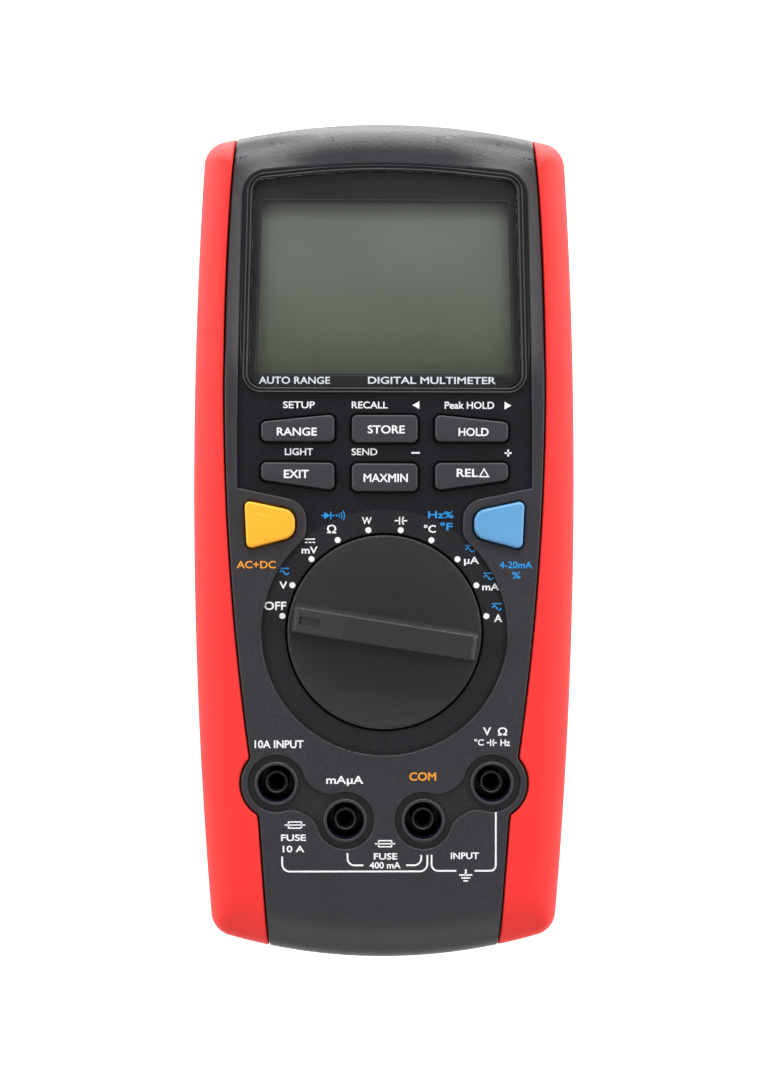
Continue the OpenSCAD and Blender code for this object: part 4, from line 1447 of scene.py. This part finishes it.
def clear_lens():
    """Clear plastic: see-through with a mirror-like reflection that grows towards grazing angles."""
    material, tree, shader = new_material("lens_clear_plastic")
    tree.nodes.remove(shader)
    slow = noise(tree, 60)
    tint = ramp(tree, slow, [(0.3, (0.97, 0.98, 0.98)), (0.7, (0.99, 1.0, 1.0))])
    see = added(tree, "BsdfTransparent", {"Color": tint})
    gloss = added(tree, "BsdfGlossy", {"Roughness": ranged(tree, slow, 0.03, 0.06)})
    facing = added(tree, "LayerWeight").outputs["Facing"]
    share = ramp(tree, facing, [(0.0, 0.02), (0.6, 0.05), (1.0, 0.5)])
    mix = added(tree, "MixShader", {"Fac": share, 1: see.outputs["BSDF"], 2: gloss.outputs["BSDF"]})
    feed(tree, tree.nodes["Material Output"], {"Surface": mix.outputs["Shader"]})
    return material


METAL = {"Metallic": 1.0}

# Name, colour, roughness, spread of the mottling, fineness of mottling and grain, height of the
# grain in microns, and other settings
SURFACES = {
    "shell": ("shell_textured_plastic", (0.0240, 0.0217, 0.0263), 0.47, 0.10, 60, 2200, 60),
    "rear": ("rear_textured_plastic", (0.0250, 0.0230, 0.0270), 0.55, 0.10, 60, 1800, 90),
    "grip": ("grip_soft_rubber", (0.80, 0.029, 0.025), 0.6, 0.04, 45, 3200, 20, {"Specular IOR Level": 0.3}),
    "knob": ("knob_textured_plastic", (0.0165, 0.0138, 0.0162), 0.55, 0.10, 60, 2000, 60),
    "key": ("key_satin_plastic", (0.0315, 0.0290, 0.0345), 0.45, 0.08, 80, 3000, 30),
    "yellow": ("button_yellow_satin", (0.93, 0.42, 0.020), 0.45, 0.03, 80, 3000, 20),
    "blue": ("button_blue_satin", (0.107, 0.305, 0.555), 0.45, 0.04, 80, 3000, 20),
    "mask": ("mask_black_film", (0.0135, 0.0122, 0.0150), 0.4, 0.08, 60, 1500, 1),
    "panel": ("panel_smooth_plastic", (0.0072, 0.0066, 0.0095), 0.4, 0.08, 60, 2600, 20,
              {"Specular IOR Level": 0.35}),
    "ring": ("ring_smooth_plastic", (0.0108, 0.0098, 0.0130), 0.4, 0.08, 60, 2600, 30),
    "recess": ("recess_smooth_plastic", (0.0175, 0.0158, 0.0190), 0.4, 0.08, 60, 2600, 30),
    # Painted shade: a near-black copy of the shell plastic for the walls down into the shrouds and openings
    # and for the shell's inner side.
    "inside": ("inside_black_plastic", (0.004, 0.004, 0.016), 0.7, 0.1, 60, 2000, 30,
               {"Specular IOR Level": 0.1}),
    "insulator": ("insulator_plastic", (0.065, 0.062, 0.066), 0.4, 0.1, 200, 3000, 20),
    # Painted shade: the socket's metal, near black where it lies deep in the bore.
    "bore": ("bore_dark_metal", (0.012, 0.011, 0.010), 0.6, 0.1, 300, 3000, 20, {"Metallic": 0.5}),
    "socket": ("socket_nickel", (0.62, 0.58, 0.50), 0.3, 0.08, 150, 3500, 10, METAL),
    "ink_white": ("ink_white", (0.80, 0.82, 0.84), 0.5, 0.04, 300, 3000, 10),
    "ink_blue": ("ink_blue", (0.012, 0.26, 0.66), 0.5, 0.04, 300, 3000, 10),
    "ink_orange": ("ink_orange", (0.80, 0.30, 0.025), 0.5, 0.04, 300, 3000, 10),
    "ink_grey": ("ink_grey", (0.050, 0.050, 0.050), 0.5, 0.04, 300, 3000, 10),
    "steel": ("screw_steel", (0.60, 0.60, 0.62), 0.32, 0.06, 200, 4000, 8, METAL),
    "board": ("board_solder_mask", (0.012, 0.11, 0.045), 0.3, 0.2, 400, 2500, 10, {"Coat Weight": 0.4}),
    "white": ("white_nylon", (0.70, 0.69, 0.64), 0.5, 0.04, 80, 2500, 20),
    "silicone": ("silicone_grey", (0.36, 0.35, 0.33), 0.65, 0.06, 80, 2500, 20),
    "strip": ("contact_rubber", (0.05, 0.05, 0.12), 0.6, 0.2, 2000, 4000, 10),
    "ceramic": ("fuse_ceramic", (0.72, 0.69, 0.60), 0.5, 0.05, 120, 2500, 20),
    "copper": ("shunt_copper", (0.70, 0.34, 0.18), 0.35, 0.1, 200, 4000, 10, METAL),
    "absorber": ("absorber_epoxy", (0.03, 0.12, 0.42), 0.3, 0.08, 100, 1500, 30, {"Coat Weight": 0.3}),
    "tin": ("tin_plate", (0.66, 0.66, 0.65), 0.35, 0.1, 150, 3000, 10, METAL),
    "chip": ("chip_epoxy", (0.02, 0.02, 0.022), 0.55, 0.1, 200, 3000, 20),
    "sleeve": ("capacitor_sleeve", (0.02, 0.03, 0.12), 0.35, 0.08, 100, 2500, 10),
    "battery": ("battery_lacquer", (0.09, 0.10, 0.115), 0.35, 0.1, 60, 2500, 10, {"Coat Weight": 0.3}),
    "red_lead": ("lead_red_pvc", (0.55, 0.015, 0.015), 0.4, 0.06, 200, 2500, 10),
    "black_lead": ("lead_black_pvc", (0.02, 0.02, 0.02), 0.4, 0.1, 200, 2500, 10),
    "foam": ("foam_dark", (0.05, 0.05, 0.05), 0.9, 0.2, 600, 1500, 100),
    "window": ("infrared_plastic", (0.035, 0.004, 0.006), 0.15, 0.1, 60, 2000, 4),
    "brass": ("contact_brass", (0.70, 0.46, 0.18), 0.3, 0.08, 200, 4000, 10, METAL),
}


def make_materials():
    look = {key: surface(*row) for key, row in SURFACES.items()}
    look["lens"] = clear_lens()
    look["lcd"] = display_glass()
    return look


NODE_MATERIALS = {
    "case_screws": "steel", "display_mask": "mask", "lcd_panel": "lcd", "lcd_backlight": "white",
    "lcd_frame": "white", "contact_strip": "strip", "keypad_membrane": "silicone", "knob_screw": "steel",
    "switch_rotor": "white", "rotor_contacts": "brass", "detent_ring": "white", "detent_balls": "steel",
    "detent_springs": "steel", "main_board": "board", "board_screws": "steel", "fuse_10a": "ceramic",
    "fuse_ma": "ceramic", "fuse_clips": "tin", "current_shunt": "copper", "surge_absorbers": "absorber",
    "shield_plate": "tin", "board_chips": "chip", "capacitors": "sleeve", "buzzer": "chip",
    "battery_9v": "battery", "battery_snap": "chip", "lead_red": "red_lead", "lead_black": "black_lead",
    "battery_pad": "foam", "door_screws": "steel", "data_diodes": "chip",
}


def front_zones(piece):
    """Material indices of the front shell: 1 panel, 2 dial ring, 3 socket recess, 4 painted shade inside the
    shrouds and on faces deeper than the panel.
    """
    mesh = piece.data
    centres = np.zeros(3 * len(mesh.polygons))
    mesh.polygons.foreach_get("center", centres)
    centres = centres.reshape(-1, 3) / MM
    plane = centres[:, :2]
    index = np.zeros(len(plane), int)
    index[(panel_depth(plane) > 0) & (lens_distance(plane) > LIP_PROFILE[-1][0])] = 1
    index[circle_depth(plane, DIAL, DIAL_R) > 0] = 2
    away = socket_distance(plane)
    index[(loop_depth(mirrored_points(plane), RECESS_LOOP) > 0) & (away > RIM_R)] = 3
    # Painted shade: faces deep inside the shrouds and below the panel get the darker plastic.
    index[(away < SHROUD_R + 0.6) & (centres[:, 2] < RIM_Z - 0.35)] = 4
    index[centres[:, 2] < PANEL_Z - 0.5] = 4
    index[outline_depth(plane) < 5] = 0
    mesh.polygons.foreach_set("material_index", index.tolist())
    return piece


def finish_piece(piece, material, body, node=None, slot=None):
    materials = material if isinstance(material, list) else [material]
    for one in materials:
        piece.data.materials.append(one)
    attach(piece, body)
    if node is not None:
        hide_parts(node)
    return piece


# ---------- Camera, floor and lights ----------

CAMERA_PLACE = (-6.34, 0.11, 416.3)
CAMERA_TURN = (-0.0001, -0.0173, 0.0015)
LENS_MM = 60.0


def stage():
    scene = bpy.context.scene
    camera = bpy.data.objects.new("camera", bpy.data.cameras.new("camera"))
    camera.data.lens = LENS_MM
    camera.data.sensor_width = 36
    camera.data.clip_start = 0.01
    camera.location = Vector(CAMERA_PLACE) * MM
    camera.rotation_euler = CAMERA_TURN
    scene.collection.objects.link(camera)
    scene.camera = camera

    mesh = bpy.data.meshes.new("floor")
    mesh.from_pydata([(-3, -3, 0), (3, -3, 0), (3, 3, 0), (-3, 3, 0)], [], [(0, 1, 2, 3)])
    floor = bpy.data.objects.new("floor", mesh)
    scene.collection.objects.link(floor)
    # Painted light: the floor glows. Its emission keeps it white where shadows would fall, and beyond the
    # meter's top end it grows bright enough to light that end like a lamp.
    glowing_floor, tree, shader = new_material("floor_glowing")
    y = distance_along(tree, "Object", "Y")
    glow = [(0.0, 0.1), (0.25, 0.25), (0.4, 0.55), (0.6, 0.8), (0.8, 4.0)]
    feed(tree, shader, {
        "Base Color": ramp(tree, noise(tree, 6), [(0.3, 0.86), (0.7, 0.88)]),
        "Roughness": 0.9,
        "Emission Color": ramp(tree, ranged(tree, y, 0, 1, -0.6, 0.6), glow),
        "Emission Strength": ranged(tree, y, 1.0, 4.2, 0.085, 0.2),
    })
    mesh.materials.append(glowing_floor)

    scene.world = studio_world()
    soft_light("key_softbox", (0.0, 0.95, 0.55), (1.0, 0.5), 9)
    soft_light("front_softbox", (0.0, -0.8, 0.6), (0.9, 0.4), 2.2)
    soft_light("left_softbox", (-0.85, 0.1, 0.6), (0.5, 0.9), 5)
    soft_light("right_softbox", (0.85, 0.1, 0.6), (0.5, 0.9), 5)
    scene.view_settings.view_transform = "Standard"


def studio_world():
    """White walls low down, brightest behind the display end, under a dim ceiling."""
    world = bpy.data.worlds.new("studio")
    world.use_nodes = True
    tree = world.node_tree
    ceiling = [(0.0, 0.9), (0.45, 0.75), (0.75, 0.3), (1.0, 0.16)]
    height = ramp(tree, distance_along(tree, "Generated", "Z"), ceiling)
    walls = [(0.0, 0.6), (0.5, 0.75), (0.8, 0.95), (1.0, 2.6)]
    towards = ramp(tree, ranged(tree, distance_along(tree, "Generated", "Y"), 0, 1, -1, 1), walls)
    feed(tree, tree.nodes["Background"], {"Color": product(tree, height, towards), "Strength": 1.0})
    return world


def soft_light(name, place, size, power):
    light = bpy.data.lights.new(name, "AREA")
    light.shape = "RECTANGLE"
    light.size, light.size_y = size
    light.energy = power
    lamp = bpy.data.objects.new(name, light)
    lamp.location = place
    lamp.rotation_euler = (-Vector(place)).to_track_quat("-Z", "Y").to_euler()
    bpy.context.scene.collection.objects.link(lamp)
    return lamp


# ---------- Putting it together ----------

stage()
look = make_materials()
for node, key in NODE_MATERIALS.items():
    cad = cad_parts[node]
    if not cad.material_slots:
        cad.data.materials.append(look[key])
    for place in cad.material_slots:
        place.material = look[key]

shell_looks = [look[key] for key in ("shell", "panel", "ring", "recess", "inside")]
finish_piece(front_zones(front_case()), shell_looks, "meter_body", "front_case", "shell_black")
finish_piece(rear_case(), look["rear"], "meter_body", "rear_case", "shell_rear")
for side, word in ((-1, "left"), (1, "right")):
    for end in ("front", "rear"):
        finish_piece(soft_grip(end, side), look["grip"], "meter_body", f"{end}_grip_{word}", "grip_red")
finish_piece(lens_plate(), look["lens"], "meter_body", "display_lens", "lens_clear")
finish_piece(battery_door(), look["rear"], "meter_body", "battery_door", "shell_rear")
finish_piece(data_window(), look["window"], "meter_body", "data_window", "window_red")
finish_piece(tilt_stand(), look["rear"], "stand", "tilt_stand", "shell_rear")
finish_piece(stand_hinge(), look["rear"], "stand")
for node in KEY_OUTLINES:
    body = node.replace("button_", "key_")
    coloured = node in ("button_yellow", "button_blue")
    key = node.replace("button_", "") if coloured else "key"
    finish_piece(key_cap(node), look[key], body, node, node if coloured else "key_grey")
    if node in KEY_CAPTIONS:
        finish_piece(key_print(node), look["ink_white"], body)
finish_piece(knob(), look["knob"], "selector", "rotary_knob", "knob_black")
for node in SOCKETS:
    socket_looks = [look["socket"], look["insulator"], look["bore"]]
    finish_piece(socket_tube(node), socket_looks, "meter_body", node, "socket_metal")
for make, key in (
    (dial_print, "ink_white"), (dial_print_blue, "ink_blue"), (face_print, "ink_white"),
    (face_print_orange, "ink_orange"), (face_print_blue, "ink_blue"), (mask_print, "ink_white"),
    (mask_line, "ink_grey"),
):
    finish_piece(make(), look[key], "meter_body")
